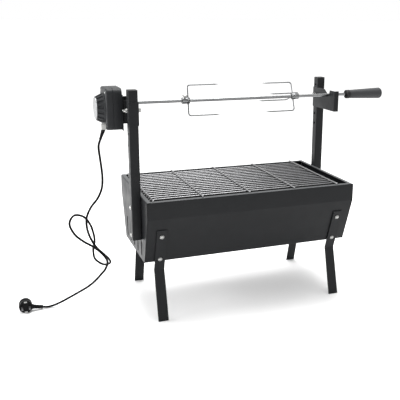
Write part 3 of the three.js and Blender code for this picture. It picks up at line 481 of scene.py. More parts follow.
CORD_DIAMETER = 6.2 * MM
TROUGH_MIDDLE = -0.0423  # the route is laid out from the middle of the trough, which lies here on X
CORD_ROUTE = [
    (-0.3874, -0.026, 0.4815),
    (-0.3918, -0.0255, 0.466),
    (-0.390, -0.024, 0.438),
    (-0.387, -0.023, 0.409),
    (-0.385, -0.022, 0.379),
    (-0.388, -0.021, 0.349),
    (-0.400, -0.022, 0.323),
    (-0.419, -0.023, 0.300),
    (-0.432, -0.027, 0.274),
    (-0.433, -0.031, 0.245),
    (-0.425, -0.033, 0.216),
    (-0.411, -0.032, 0.189),
    (-0.392, -0.027, 0.166),
    (-0.376, -0.017, 0.145),
    (-0.371, -0.001, 0.1275),
    (-0.386, 0.021, 0.117),
    (-0.406, 0.036, 0.130),
    (-0.410, 0.038, 0.157),
    (-0.406, 0.030, 0.186),
    (-0.410, 0.024, 0.215),
    (-0.419, 0.017, 0.242),
    (-0.435, 0.011, 0.265),
    (-0.461, 0.000, 0.275),
    (-0.477, -0.022, 0.260),
    (-0.468, -0.039, 0.236),
    (-0.447, -0.048, 0.216),
    (-0.423, -0.054, 0.200),
    (-0.401, -0.057, 0.179),
    (-0.387, -0.053, 0.154),
    (-0.390, -0.041, 0.129),
    (-0.402, -0.026, 0.106),
    (-0.416, -0.011, 0.084),
    (-0.432, 0.003, 0.065),
    (-0.452, 0.017, 0.048),
    (-0.473, 0.028, 0.033),
    (-0.498, 0.036, 0.018),
    (-0.522, 0.041, 0.007),
    (-0.536, 0.0413, 0.004),
    (-0.546, 0.0411, 0.0041),
    (-0.555, 0.041, 0.0058),
]


def smooth_line(points, steps=8):
    """A centripetal Catmull-Rom line through the points."""
    ends = [2 * points[0] - points[1], *points, 2 * points[-1] - points[-2]]
    line = []
    for a, b, c, d in zip(ends, ends[1:], ends[2:], ends[3:]):
        t1 = (b - a).length ** 0.5
        t2 = t1 + (c - b).length ** 0.5
        t3 = t2 + (d - c).length ** 0.5
        for i in range(steps):
            t = t1 + (t2 - t1) * i / steps
            ab = a * ((t1 - t) / t1) + b * (t / t1)
            bc = b * ((t2 - t) / (t2 - t1)) + c * ((t - t1) / (t2 - t1))
            cd = c * ((t3 - t) / (t3 - t2)) + d * ((t - t2) / (t3 - t2))
            abc = ab * ((t2 - t) / t2) + bc * (t / t2)
            bcd = bc * ((t3 - t) / (t3 - t1)) + cd * ((t - t1) / (t3 - t1))
            line.append(abc * ((t2 - t) / (t2 - t1)) + bcd * ((t - t1) / (t2 - t1)))
    return [*line, points[-1]]


def make_cord():
    route = [Vector(point) + Vector((TROUGH_MIDDLE, 0, 0)) for point in CORD_ROUTE]
    line = smooth_line(route)
    length = sum((b - a).length for a, b in zip(line, line[1:]))
    curve = bpy.data.curves.new("mains_cord_line", "CURVE")
    curve.dimensions = "3D"
    curve.bevel_depth = CORD_DIAMETER / 2
    curve.bevel_resolution = 6
    curve.use_fill_caps = True
    spline = curve.splines.new("POLY")
    spline.points.add(len(line) - 1)
    for point, place in zip(spline.points, line):
        point.co = (*place, 1)
    spline.use_smooth = True
    cord = bpy.data.objects.new("mains_cord_flex", curve)
    bpy.context.scene.collection.objects.link(cord)
    fit(cord, PVC, "root", "black_rubber", "mains_cord")
    return cord, route, length


RELIEF_LEAN = math.radians(20)
RELIEF_LENGTH = 28.5 * MM
RELIEF_GAP = 0.8 * MM  # from the sleeve's end to the cord's first point
RELIEF_TOP_RADIUS = 5.7 * MM
RELIEF_END_RADIUS = 3.45 * MM
RELIEF_STEPS = 57
RIB_DEPTH = 0.5 * MM


def make_relief(cord_start):
    """The ribbed, tapered sleeve between the gland and the cord."""
    exit_direction = Vector((-math.sin(RELIEF_LEAN), 0, -math.cos(RELIEF_LEAN)))
    start = cord_start - exit_direction * (RELIEF_LENGTH + RELIEF_GAP)
    points, radii = [], []
    for i in range(RELIEF_STEPS + 1):
        share = i / RELIEF_STEPS
        rib = RIB_DEPTH if 0.3 < share < 0.88 and (i // 3) % 2 else 0.0
        points.append(start + exit_direction * (RELIEF_LENGTH * share))
        radii.append(RELIEF_TOP_RADIUS + (RELIEF_END_RADIUS - RELIEF_TOP_RADIUS) * share - rib)
    sleeve = wire("strain_relief_sleeve", points, radii, 24)
    return fit(sleeve, PVC, "root", "black_rubber", "strain_relief")


PLUG_PROFILE_DEPTH = 31
# (share of the plug's radius, height above its face on a plug PLUG_PROFILE_DEPTH deep)
PLUG_PROFILE = [(0, 0.9), (0.80, 0.9), (0.83, 0.2), (0.90, 0), (0.97, 0.3), (1.0, 1.2), (1.0, 8.0)]
PLUG_PROFILE += [(0.955, 8.8), (0.955, 9.8), (1.0, 10.6), (1.0, 13.0), (0.955, 13.8), (0.955, 14.8)]
PLUG_PROFILE += [(1.0, 15.6), (1.0, 19), (0.985, 22), (0.93, 25.5), (0.84, 28.2), (0.72, 30.2)]
PLUG_PROFILE += [(0.5, 31), (0, 31)]
PLUG_SLEEVE_RADIUS = 6.3 * MM
PLUG_SLEEVE_TAPER = 0.9 * MM
PLUG_SLEEVE_END = 0.985  # share of the way from inside the plug to the cord's end
PLUG_SHOULDER = 6.5 * MM
PLUG_SHOULDER_END = 0.42
PLUG_SLEEVE_STEPS = 40


def make_plug(cord_end):
    low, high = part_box("plug_body")
    left_pin, right_pin = middle("plug_pin_left"), middle("plug_pin_right")
    face = Vector((left_pin.x / 2 + right_pin.x / 2, low.y, left_pin.z))
    radius = face.z - low.z
    depth = high.y - low.y
    scaled = [(share * radius, t * MM * depth / (PLUG_PROFILE_DEPTH * MM)) for share, t in PLUG_PROFILE]
    body = turned("plug_shell", face, Y_AXIS, scaled, 48, 30)
    inside = face + Vector((0.25 * radius, cord_end.y - face.y, -0.24 * radius))
    along = cord_end - inside
    points, radii = [], []
    for i in range(PLUG_SLEEVE_STEPS + 1):
        share = i / PLUG_SLEEVE_STEPS
        rib = RIB_DEPTH if 0.5 < share < 0.93 and (i // 2) % 2 else 0.0
        shoulder = PLUG_SHOULDER * max(1 - share / PLUG_SHOULDER_END, 0)
        points.append(inside + along * (share * PLUG_SLEEVE_END))
        radii.append(PLUG_SLEEVE_RADIUS - PLUG_SLEEVE_TAPER * share + shoulder - rib)
    sleeve = wire("plug_sleeve", points, radii, 24)
    fit(body, PVC, "root", "black_rubber", "plug_body")
    fit(sleeve, PVC, "root", "black_rubber")
    pieces = [body, sleeve]
    for side in ("left", "right"):
        node = f"plug_pin_{side}"
        pin_low, pin_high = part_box(node)
        r, length = (pin_high.x - pin_low.x) / 2, pin_high.y - pin_low.y
        base = Vector((middle(node).x, pin_high.y, middle(node).z))
        bare = [(r * 0.86, 0), (r * 0.86, 0.52 * length), (r, 0.53 * length), (r, length - 1.6 * MM)]
        tip = [(0.82 * r, length - 0.5 * MM), (0.45 * r, length), (0, length)]
        pin = turned(f"{node}_turned", base, -Y_AXIS, [(0, 0), *bare, *tip], 24)
        pieces.append(fit(pin, RAW_STEEL, "root", "zinc_fastener", node))
    for place in ("lower", "upper"):
        node = f"plug_earth_contact_{place}"
        strip_low, strip_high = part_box(node)
        half = (strip_high.x - strip_low.x) / 2
        outline = rounded_rectangle(2 * half, strip_high.z - strip_low.z, 0.9 * MM, 4)
        centre = middle(node)
        rings = [
            [Vector((centre.x + a * inset, y, centre.z + b * inset)) for a, b in outline]
            for y, inset in ((strip_high.y, 1), (strip_low.y + 0.3 * MM, 1), (strip_low.y, 0.85))
        ]
        pieces.append(fit(loft(f"{node}_strip", rings), ZINC, "root", "zinc_fastener", node))
    return pieces


cord, cord_points, cord_length = make_cord()
make_relief(cord_points[0])
plug_pieces = make_plug(cord_points[-1])

# ------------------------------------------------------------------ sheet metal

for panel in ("front_panel", "back_panel", "left_end_panel", "right_end_panel"):
    refined(panel, ENAMEL, 0.35 * MM)
for sheet in ("floor_pan", "charcoal_grate"):
    refined(sheet, INNER_STEEL, 0.4 * MM)
for bent in ("motor_bracket", "spit_rest_bracket", "motor_mount", "motor_plate"):
    refined(bent, ENAMEL, 0.3 * MM)
for face in ("front", "back"):
    for side in ("left", "right"):
        refined(f"leg_{face}_{side}", ENAMEL, 0.7 * MM, 3)

# ------------------------------------------------------------------ posts

POST_WALL = 1.6 * MM
POST_CORNER = 2.5 * MM
HOLE_RADIUS = 4 * MM
HOLE_PITCH = 30 * MM
HOLES = 5
HOLES_BELOW_CLAMP = 3
BOLT_HOLE_RADIUS = 3.3 * MM
CUTTER_REACH = 0.01  # how far a hole's cutter stands out on both sides


def make_post(side, bracket_bolt):
    low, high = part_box(f"{side}_post")
    centre = (low + high) / 2
    size = high.x - low.x
    outer = rounded_rectangle(size, size, POST_CORNER, 8)
    inner = rounded_rectangle(size - 2 * POST_WALL, size - 2 * POST_WALL, POST_CORNER - POST_WALL, 8)

    def ring(outline, z, inset=0.0):
        share = 1 - inset / (size / 2)
        return [Vector((centre.x + a * share, centre.y + b * share, z)) for a, b in outline]

    edge = 0.3 * MM
    rings = [ring(outer, low.z, edge), ring(outer, low.z + edge), ring(outer, high.z - edge)]
    rings += [ring(outer, high.z, edge), ring(inner, high.z), ring(inner, low.z)]
    post = loft(f"{side}_post_tube", rings, closed=True)
    clamp_z = middle(bracket_bolt).z
    holes = [(clamp_z + (i - HOLES_BELOW_CLAMP) * HOLE_PITCH, HOLE_RADIUS) for i in range(HOLES)]
    holes += [(middle(f"{side}_post_bolt_{place}").z, BOLT_HOLE_RADIUS) for place in ("upper", "lower")]
    for z, radius in holes:
        start = Vector((low.x - CUTTER_REACH, centre.y, z))
        length = size + 2 * CUTTER_REACH
        cut(post, turned("hole", start, X_AXIS, [(radius, 0), (radius, length)], 28))
    shade(post.data, 35)
    fit(post, ENAMEL, "root", "black_enamel", f"{side}_post")


def make_cap(side):
    low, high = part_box(f"{side}_post_cap")
    centre = (low + high) / 2
    size = high.x - low.x
    lid, plug = 2.5 * MM, 0.84
    levels = [(low.z, plug), (high.z - lid - 0.1 * MM, plug), (high.z - lid, 1.0)]
    levels += [(high.z - 1.0 * MM, 1.0), (high.z - 0.4 * MM, 0.965), (high.z, 0.89)]
    outline = rounded_rectangle(size, size, POST_CORNER, 8)
    rings = [[Vector((centre.x + a * k, centre.y + b * k, z)) for a, b in outline] for z, k in levels]
    cap = loft(f"{side}_post_cap_moulded", rings)
    fit(cap, CAP_PLASTIC, "root", "black_plastic", f"{side}_post_cap")


make_post("left", "motor_bracket_bolt")
make_post("right", "spit_rest_bracket_bolt")
make_cap("left")
make_cap("right")

# ------------------------------------------------------------------ fasteners

BOLT_RADIUS = 3 * MM
HEAD_RADIUS = 6 * MM
HEAD_HEIGHT = 3.5 * MM
HEAD_WASHER = 0.85 * MM
CLAMP_HEAD_HEIGHT = 7 * MM
CLAMP_WASHER = 1.1 * MM
NUT_HEIGHT = 5 * MM
NUT_RADIUS = 5.7 * MM
BOLT_END = 2 * MM
THREAD_PITCH = 1.0 * MM
THREAD_DEPTH = 0.35 * MM
SHANK_OVERLAP = 0.2 * MM  # how far a shank goes into its head


def thread(start, direction, length, radius):
    """A shank whose ridges stand a pitch apart."""
    count = max(int(length / (THREAD_PITCH / 2)), 1)
    profile = [(0, 0)]
    profile += [(radius - (i % 2) * THREAD_DEPTH, length * i / count) for i in range(count + 1)]
    profile.append((0, length + 0.01 * MM))
    return turned("thread", start, direction, profile, 24, 20)


def domed_head(base, direction, height):
    """A round bolt head with a low washer face."""
    r, dome, dome_steps = HEAD_RADIUS, 0.86 * HEAD_RADIUS, 8
    profile = [(0, 0), (r, 0), (r, 0.5 * MM), (0.97 * r, 0.8 * MM), (dome, HEAD_WASHER)]
    for i in range(dome_steps + 1):
        angle = math.pi / 2 * i / dome_steps
        rise = (height - HEAD_WASHER) * math.sin(angle)
        profile.append((dome * math.cos(angle), HEAD_WASHER + rise))
    return turned("head", base, direction, profile, 32)


def hexagon_nut(base, direction):
    direction = direction.normalized()
    levels = [(0.0, 0.9), (0.5 * MM, 1.0), (NUT_HEIGHT - 0.5 * MM, 1.0), (NUT_HEIGHT, 0.9)]
    rings = [ring_at(base + direction * t, direction, NUT_RADIUS * k, 6) for t, k in levels]
    return loft("nut", rings)


def hexagon_head(base, direction, height):
    """A hexagon head on its washer, as tall as height."""
    direction = direction.normalized()
    washer = [(0, 0), (HEAD_RADIUS, 0), (HEAD_RADIUS, 0.8 * MM)]
    washer += [(HEAD_RADIUS - 0.4 * MM, CLAMP_WASHER), (0, CLAMP_WASHER)]
    levels = [(1.0 * MM, 1.0), (height - 0.7 * MM, 1.0), (height, 0.86)]
    rings = [ring_at(base + direction * t, direction, NUT_RADIUS * k, 6) for t, k in levels]
    return joined("head", [turned("washer", base, direction, washer, 32), loft("hexagon", rings)])


def make_bolt(node, direction, head=domed_head, height=HEAD_HEIGHT, nut=True):
    """A bolt whose direction points from the shank's end to the head."""
    origin, start, end = axis_span(node, direction)
    direction = direction.normalized()
    neck = end - height
    shank = neck - start + SHANK_OVERLAP
    parts = [head(origin + direction * neck, direction, height)]
    parts.append(thread(origin + direction * start, direction, shank, BOLT_RADIUS))
    if nut:
        parts.append(hexagon_nut(origin + direction * (start + BOLT_END), direction))
    fit(joined(f"{node}_threaded", parts), ZINC, "root", "zinc_fastener", node)


# the trough's long sides, in millimetres
RIM_HALF_WIDTH, FLOOR_HALF_WIDTH = 164, 118
SIDE_TOP, SIDE_BOTTOM = 290, 160
SLOPE = math.atan((RIM_HALF_WIDTH - FLOOR_HALF_WIDTH) / (SIDE_TOP - SIDE_BOTTOM))
for face, sign in (("front", -1), ("back", 1)):
    outward = Vector((0, sign * math.cos(SLOPE), -math.sin(SLOPE)))
    for side in ("left", "right"):
        for place in ("upper", "lower"):
            make_bolt(f"leg_bolt_{face}_{side}_{place}", outward)
for side, sign in (("left", -1), ("right", 1)):
    for place in ("upper", "lower"):
        make_bolt(f"{side}_post_bolt_{place}", X_AXIS * sign)
for bracket, toward_head in (("motor_bracket", X_AXIS), ("spit_rest_bracket", -X_AXIS)):
    make_bolt(f"{bracket}_bolt", toward_head, hexagon_head, CLAMP_HEAD_HEIGHT, nut=False)

# millimetres outward and upward from the middle of the hub's foot
WING_OUTLINE = [(3.8, 0.6), (6.5, 1.2), (9.5, 3.4), (12.4, 5.4), (13.0, 7.6), (12.2, 10.2), (10.4, 11.0)]
WING_OUTLINE += [(8.4, 9.6), (6.4, 6.9), (3.6, 5.6)]
WING_MIDDLE = (8, 6)
WING_LAYERS = ((-1.25, 0.93), (-0.8, 1.0), (0.8, 1.0), (1.25, 0.93))  # offset and share of the outline


def wings(base, direction, across, scale=1.0):
    """Two pressed wings that stand out from a hub at base."""
    third = direction.cross(across)
    parts = []
    for sign in (1, -1):
        rings = []
        for offset, k in WING_LAYERS:
            ring = []
            for a, b in WING_OUTLINE:
                u = WING_MIDDLE[0] + (a - WING_MIDDLE[0]) * k
                v = WING_MIDDLE[1] + (b - WING_MIDDLE[1]) * k
                place = across * (sign * u * scale * MM) + direction * (v * scale * MM)
                ring.append(base + place + third * (offset * scale * MM))
            rings.append(ring)
        wing = loft("wing", rings, sharp=50)
        parts.append(bevel(wing, 0.3 * MM))
    return parts


def solid_mesh(piece):
    """Applies a piece's modifiers."""
    graph = bpy.context.evaluated_depsgraph_get()
    mesh = bpy.data.meshes.new_from_object(piece.evaluated_get(graph))
    piece.modifiers.clear()
    piece.data = mesh
    return piece


def make_wing_nut(node, direction):
    low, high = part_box(node)
    centre = (low + high) / 2
    base = Vector((low.x if direction.x > 0 else high.x, centre.y, centre.z))
    bore, height = BOLT_HOLE_RADIUS, 6.0 * MM
    hub = [(bore, 0), (5.6 * MM, 0), (5.7 * MM, 0.6 * MM), (5.0 * MM, 5.0 * MM)]
    hub += [(4.5 * MM, height), (bore, height)]
    parts = [turned_tube("hub", base, direction, hub, 32)]
    parts += [solid_mesh(wing) for wing in wings(base, direction, Y_AXIS)]
    fit(joined(f"{node}_pressed", parts, 45), ZINC, body_of(node), "zinc_fastener", node)


make_wing_nut("motor_bracket_wing_nut", -X_AXIS)
make_wing_nut("spit_rest_bracket_wing_nut", X_AXIS)

# ------------------------------------------------------------------ cooking grid

GRID_RODS = 15
GRID_WIRES = 5
ROD_RADIUS = 2.2 * MM
CROSS_RADIUS = 2.45 * MM
ROD_LIFT = 1.95 * MM  # from the grid's underside to the rods' axes
ROWS_HALF_SPAN = 133 * MM
CROSS_WIRE_INSET = 5 * MM
WELD_BEAD = [(0, 0), (1.6, 0.4), (2.5, 1.6), (2.5, 2.6), (1.6, 3.6), (0, 4)]  # millimetres


def domed_rod(start, direction, length, radius, sides=14):
    """A wire with rounded ends."""
    profile = [(0, 0), (0.55 * radius, 0.16 * radius), (0.88 * radius, 0.5 * radius), (radius, radius)]
    profile += [(r, length - t) for r, t in reversed(profile)]
    return turned("rod", start, direction, profile, sides, 60)


def make_grid():
    low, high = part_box("cooking_grid")
    middle_y = (low.y + high.y) / 2
    first_y = middle_y - ROWS_HALF_SPAN
    rod_z = low.z + ROD_LIFT
    wire_z = high.z - CROSS_RADIUS
    first_x, last_x = low.x + CROSS_WIRE_INSET, high.x - CROSS_WIRE_INSET
    rows = [first_y + 2 * ROWS_HALF_SPAN * i / (GRID_RODS - 1) for i in range(GRID_RODS)]
    columns = [first_x + (last_x - first_x) * i / (GRID_WIRES - 1) for i in range(GRID_WIRES)]
    span = high - low
    parts = [domed_rod(Vector((low.x, y, rod_z)), X_AXIS, span.x, ROD_RADIUS) for y in rows]
    parts += [domed_rod(Vector((x, low.y, wire_z)), Y_AXIS, span.y, CROSS_RADIUS) for x in columns]
    bead = [(radius * MM, height * MM) for radius, height in WELD_BEAD]
    for x in columns:
        for y in rows:
            parts.append(turned("weld", Vector((x, y, rod_z + 0.7 * MM)), Z_AXIS, bead, 10, 80))
    grid = joined("cooking_grid_welded", parts, 60)
    fit(grid, GRID_CHROME, "grid", "chrome_wire", "cooking_grid")


make_grid()

# ------------------------------------------------------------------ spit, collar and handle


SPIT_CHAMFER = 0.4 * MM
SPIT_FACE_RADIUS = 4.2 * MM
SPIT_BANDS = 12
SQUARE_HALF = 3.15 * MM
HANDLE_SMALL_RADIUS = 12.5 * MM
HANDLE_CROWN = 8 * MM
HANDLE_LIP = 1.4 * MM
HANDLE_BORE_DEPTH = 81 * MM
HANDLE_BANDS = 12
CROWN_STEPS = 9


def make_spit():
    low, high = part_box("spit_rod")
    axis = Vector((0, 0, SPIT_Z))
    square_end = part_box("motor_mount")[0].x
    length = high.x - square_end
    profile = [(0, 0), (SPIT_FACE_RADIUS, 0), (SPIT_RADIUS, SPIT_CHAMFER)]
    profile += [(SPIT_RADIUS, length * i / SPIT_BANDS) for i in range(1, SPIT_BANDS)]
    profile += [(SPIT_RADIUS, length - SPIT_CHAMFER), (SPIT_FACE_RADIUS, length), (0, length)]
    rod = turned("rod", axis + X_AXIS * square_end, X_AXIS, profile, 40)
    outline = rounded_rectangle(2 * SQUARE_HALF, 2 * SQUARE_HALF, 0.5 * MM, 4)
    rings = []
    for x, k in ((low.x, 0.8), (low.x + 0.8 * MM, 1.0), (square_end + 1 * MM, 1.0)):
        rings.append([Vector((x, a * k, SPIT_Z + b * k)) for a, b in outline])
    spit = joined("spit_rod_ground", [rod, loft("square", rings)])
    fit(spit, ROD_CHROME, "spit", "chrome_wire", "spit_rod")


def make_collar():
    low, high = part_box("spit_collar")
    r, length, chamfer = (high.z - low.z) / 2, high.x - low.x, 0.7 * MM
    profile = [(SPIT_BORE, 0), (r - chamfer, 0), (r, chamfer)]
    profile += [(r, length - chamfer), (r - chamfer, length), (SPIT_BORE, length)]
    ring = turned_tube("ring", Vector((low.x, 0, SPIT_Z)), X_AXIS, profile, 40)
    place = Vector(((low.x + high.x) / 2, 0, SPIT_Z + r - 1.4 * MM))
    socket = [(0, 0), (1.9 * MM, 0), (1.9 * MM, 1.0 * MM), (1.6 * MM, 1.3 * MM)]
    socket += [(1.0 * MM, 1.3 * MM), (0.9 * MM, 0.5 * MM), (0, 0.5 * MM)]
    screw = turned("set_screw", place, Z_AXIS, socket, 24)
    fit(joined("spit_collar_turned", [ring, screw]), ZINC, "spit", "zinc_fastener", "spit_collar")


def make_handle():
    low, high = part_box("handle_ferrule")
    r, length = (high.z - low.z) / 2, high.x - low.x
    profile = [(SPIT_BORE, 0.8 * MM), (0.62 * r, 0.8 * MM), (0.66 * r, 0), (0.84 * r, 0)]
    profile += [(0.97 * r, 1.2 * MM), (r, 2.6 * MM), (r, 5.2 * MM), (0.94 * r, 5.8 * MM)]
    profile += [(0.94 * r, 7.0 * MM), (r, 7.6 * MM), (r, length), (SPIT_BORE, length)]
    ferrule = turned_tube("handle_ferrule_turned", Vector((low.x, 0, SPIT_Z)), X_AXIS, profile, 48)
    fit(ferrule, CAP_PLASTIC, "spit", "black_enamel", "handle_ferrule")
    low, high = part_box("spit_handle")
    length = high.x - low.x
    small, large, crown = HANDLE_SMALL_RADIUS, (high.z - low.z) / 2, HANDLE_CROWN
    profile = [(SPIT_BORE, 1 * MM), (SPIT_BORE, 0), (small - 1.2 * MM, 0)]
    profile += [(small - 0.3 * MM, 0.4 * MM), (small, HANDLE_LIP)]
    for i in range(1, HANDLE_BANDS + 1):
        share = i / HANDLE_BANDS
        height = HANDLE_LIP + (length - crown - HANDLE_LIP) * share
        profile.append((small + (large - small) * share, height))
    for i in range(1, CROWN_STEPS + 1):
        angle = math.pi / 2 * i / CROWN_STEPS
        height = length - crown + crown * math.sin(angle)
        profile.append((large - crown + crown * math.cos(angle), height))
    profile += [(0.5 * MM, length), (0.5 * MM, HANDLE_BORE_DEPTH), (SPIT_BORE, HANDLE_BORE_DEPTH)]
    grip = turned_tube("spit_handle_moulded", Vector((low.x, 0, SPIT_Z)), X_AXIS, profile, 56)
    fit(grip, HANDLE_PLASTIC, "spit", "black_plastic", "spit_handle")


make_spit()
make_collar()
make_handle()

# ------------------------------------------------------------------ forks

FORK_WIRE = 2 * MM
FORK_REACH = 42 * MM
FORK_BEND = 7 * MM
FORK_POINT = 14 * MM
FORK_POINT_SHARES = ((1, 1), (0.75, 0.8), (0.5, 0.55), (0.25, 0.3), (0.06, 0.1))  # way to the tip, radius
FORK_ROOT = 6.5 * MM
FORK_ARM_POINT = 20 * MM
FORK_WELD = 8.2 * MM
FORK_HUB_LENGTH = 22 * MM
FORK_HUB_RADIUS = 9 * MM
FORK_BORE = SPIT_RADIUS + 0.25 * MM
THUMBSCREW_RADIUS = 2.5 * MM
THUMBSCREW_HEAD = 7 * MM
THUMBSCREW_CLEARANCE = 0.4 * MM
THUMBSCREW_WING_SCALE = 0.62


def fork_frame(side):
    """The fork's arm plane on the spit, the way its prongs point, and the turn of its first prong."""
    low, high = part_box(f"{side}_fork")
    forward = X_AXIS if side == "left" else -X_AXIS
    hub = FORK_HUB_LENGTH - 2 * FORK_WIRE
    plane = low.x + hub if side == "left" else high.x - hub
    tip = high.x if side == "left" else low.x
    screw = middle(f"{side}_fork_thumbscrew") - Vector((0, 0, SPIT_Z))
    turn = math.atan2(-screw.y, screw.z) - math.pi / 4
    return Vector((plane, 0, SPIT_Z)), forward, abs(tip - plane), turn


def make_fork(side):
    centre, forward, prong, turn = fork_frame(side)
    parts = []
    for i in range(4):
        angle = turn + i * math.pi / 2
        out = Vector((0, -math.sin(angle), math.cos(angle)))
        corner = centre + out * FORK_REACH
        end = corner + forward * prong
        bend = round_corner(corner, centre, end, FORK_BEND, 8)
        straight = [bend[-1].lerp(end, k / 4) for k in (1, 2, 3)]
        sharpening = [end - forward * (FORK_POINT * k) for k, _ in FORK_POINT_SHARES]
        line = [centre + out * FORK_ROOT, centre + out * FORK_ARM_POINT, *bend]
        line += [p for p in straight if (end - p).length > FORK_POINT]
        radii = [FORK_WIRE] * len(line) + [FORK_WIRE * k for _, k in FORK_POINT_SHARES]
        parts.append(wire("prong", [*line, *sharpening], radii, 14))
        weld = [(0, 0), (3.6 * MM, 0.2 * MM), (3.1 * MM, 1.2 * MM), (2.3 * MM, 2.2 * MM), (0, 2.4 * MM)]
        parts.append(turned("weld", centre + out * FORK_WELD, out, weld, 16, 70))
    r, length, chamfer = FORK_HUB_RADIUS, FORK_HUB_LENGTH, 1 * MM
    hub = [(FORK_BORE, 0), (r - chamfer, 0), (r, chamfer)]
    hub += [(r, length - chamfer), (r - chamfer, length), (FORK_BORE, length)]
    parts.append(turned_tube("hub", centre + forward * (2 * FORK_WIRE - length), forward, hub, 40))
    fork = joined(f"{side}_fork_bent", parts, 45)
    fit(fork, CHROME, f"{side}_fork", "chrome_wire", f"{side}_fork")


def make_fork_screw(side):
    node = f"{side}_fork_thumbscrew"
    _, forward, _, turn = fork_frame(side)
    angle = turn + math.pi / 4
    out = Vector((0, -math.sin(angle), math.cos(angle)))
    origin, start, end = axis_span(node, out)
    first, neck = start + THUMBSCREW_CLEARANCE, end - THUMBSCREW_HEAD
    parts = [thread(origin + out * first, out, neck - first, THUMBSCREW_RADIUS)]
    hub = [(0, 0), (4.4 * MM, 0), (4.6 * MM, 0.6 * MM)]
    hub += [(3.9 * MM, 4.6 * MM), (3.2 * MM, 5.4 * MM), (0, 5.6 * MM)]
    base = origin + out * neck
    parts.append(turned("hub", base, out, hub, 28))
    parts += [solid_mesh(wing) for wing in wings(base, out, forward, THUMBSCREW_WING_SCALE)]
    fit(joined(f"{node}_winged", parts, 45), ZINC, body_of(node), "zinc_fastener", node)


for fork_side in ("left", "right"):
    make_fork(fork_side)
    make_fork_screw(fork_side)

# ------------------------------------------------------------------ motor

SHELL_WALL = 2.5 * MM
SHELL_CORNER = 14 * MM
SHELL_FILLET = 5 * MM
SHELL_EDGE = 0.7 * MM
SHELL_OPENING = 30 * MM
FILLET_STEPS = 8
SCREW_INSET = 11 * MM


def shell_rings(levels, centre, width, height):
    """Rings along X from (x, inset) levels."""
    rings = []
    for x, inset in levels:
        radius = max(SHELL_CORNER - inset, 1.5 * MM)
        outline = rounded_rectangle(width - 2 * inset, height - 2 * inset, radius, 8)
        rings.append([Vector((x, a, centre.z + b)) for a, b in outline])
    return rings


def make_rear_shell():
    low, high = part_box("motor_rear_shell")
    centre, edge = (low + high) / 2, SHELL_EDGE
    levels = [(low.x, edge), (low.x + edge, 0), (high.x - 2 * edge, 0), (high.x - 0.5 * edge, 0.6 * edge)]
    levels += [(high.x, 2 * edge), (high.x, SHELL_WALL), (low.x, SHELL_WALL)]
    rings = shell_rings(levels, centre, high.y - low.y, high.z - low.z)
    shell = loft("motor_rear_shell_moulded", rings, closed=True)
    fit(shell, MOTOR_PLASTIC, "root", "black_plastic", "motor_rear_shell")


def make_front_shell():
    low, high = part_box("motor_front_shell")
    centre = (low + high) / 2
    width, height = high.y - low.y, high.z - low.z
    levels = [(high.x, SHELL_EDGE), (high.x - SHELL_EDGE, 0)]
    for i in range(FILLET_STEPS + 1):
        angle = math.pi / 2 * i / FILLET_STEPS
        inset = SHELL_FILLET * (1 - math.cos(angle))
        levels.append((low.x + SHELL_FILLET * (1 - math.sin(angle)), inset))
    rings = shell_rings(levels, centre, width, height)
    face = rings[-1]
    circle = []
    for point in face:
        across = Vector((0, point.y, point.z - centre.z)).normalized()
        circle.append(across * SHELL_OPENING + Vector((0, 0, centre.z)))
    rings.append([point + X_AXIS * low.x for point in circle])
    rings.append([point + X_AXIS * (low.x + SHELL_WALL) for point in circle])
    back = low.x + SHELL_WALL
    hollow = [(back, SHELL_WALL + 3 * MM), (back + 3 * MM, SHELL_WALL), (high.x, SHELL_WALL)]
    rings += shell_rings(hollow, centre, width, height)
    shell = loft("motor_front_shell_moulded", rings, closed=True)
    fit(shell, MOTOR_PLASTIC, "root", "black_plastic", "motor_front_shell")


COVER_RIBS = 16
COVER_SAMPLES = 14
COVER_TIP_RADIUS = 31.5 * MM
COVER_BORE = 26 * MM
COVER_BACK_BORE = 27.5 * MM
COVER_GROOVE = 3.0 * MM
RIB_HALF_SHARE = 0.22
RIB_FLANK_SHARE = 0.08


def make_end_cover():
    low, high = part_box("motor_end_cover")
    centre = (low + high) / 2
    base, tip, depth = (high.z - low.z) / 2, COVER_TIP_RADIUS, high.x - low.x
    count = COVER_RIBS * COVER_SAMPLES

    def ring(t, radius, groove):
        points = []
        for k in range(count):
            phase = (k % COVER_SAMPLES) / COVER_SAMPLES
            inside = min(max((abs(phase - 0.5) - RIB_HALF_SHARE) / RIB_FLANK_SHARE, 0.0), 1.0)
            r = radius - groove * (1 - inside)
            angle = 2 * math.pi * k / count
            points.append(Vector((high.x - t, r * math.sin(angle), centre.z + r * math.cos(angle))))
        return points

    def slant(t):
        return base + (tip - base) * t / depth

    groove, bore = COVER_GROOVE, COVER_BORE
    rings = [ring(0, base - 0.5 * MM, 0), ring(0.5 * MM, base, 0), ring(2.2 * MM, slant(2.2 * MM), 0)]
    rings.append(ring(2.9 * MM, slant(2.9 * MM), groove))
    rings += [ring(depth * k, slant(depth * k), groove) for k in (0.4, 0.6, 0.8)]
    rings.append(ring(depth - 1.6 * MM, slant(depth - 1.6 * MM), groove * 0.8))
    rings += [ring(depth - 1.3 * MM, slant(depth - 1.3 * MM), 0), ring(depth - 0.3 * MM, tip, 0)]
    rings += [ring(depth, tip - 0.4 * MM, 0), ring(depth, bore, 0), ring(depth - SHELL_WALL, bore, 0)]
    rings.append(ring(0, COVER_BACK_BORE, 0))
    cover = loft("motor_end_cover_ribbed", rings, closed=True, sharp=28)
    fit(cover, MOTOR_PLASTIC, "root", "black_plastic", "motor_end_cover")


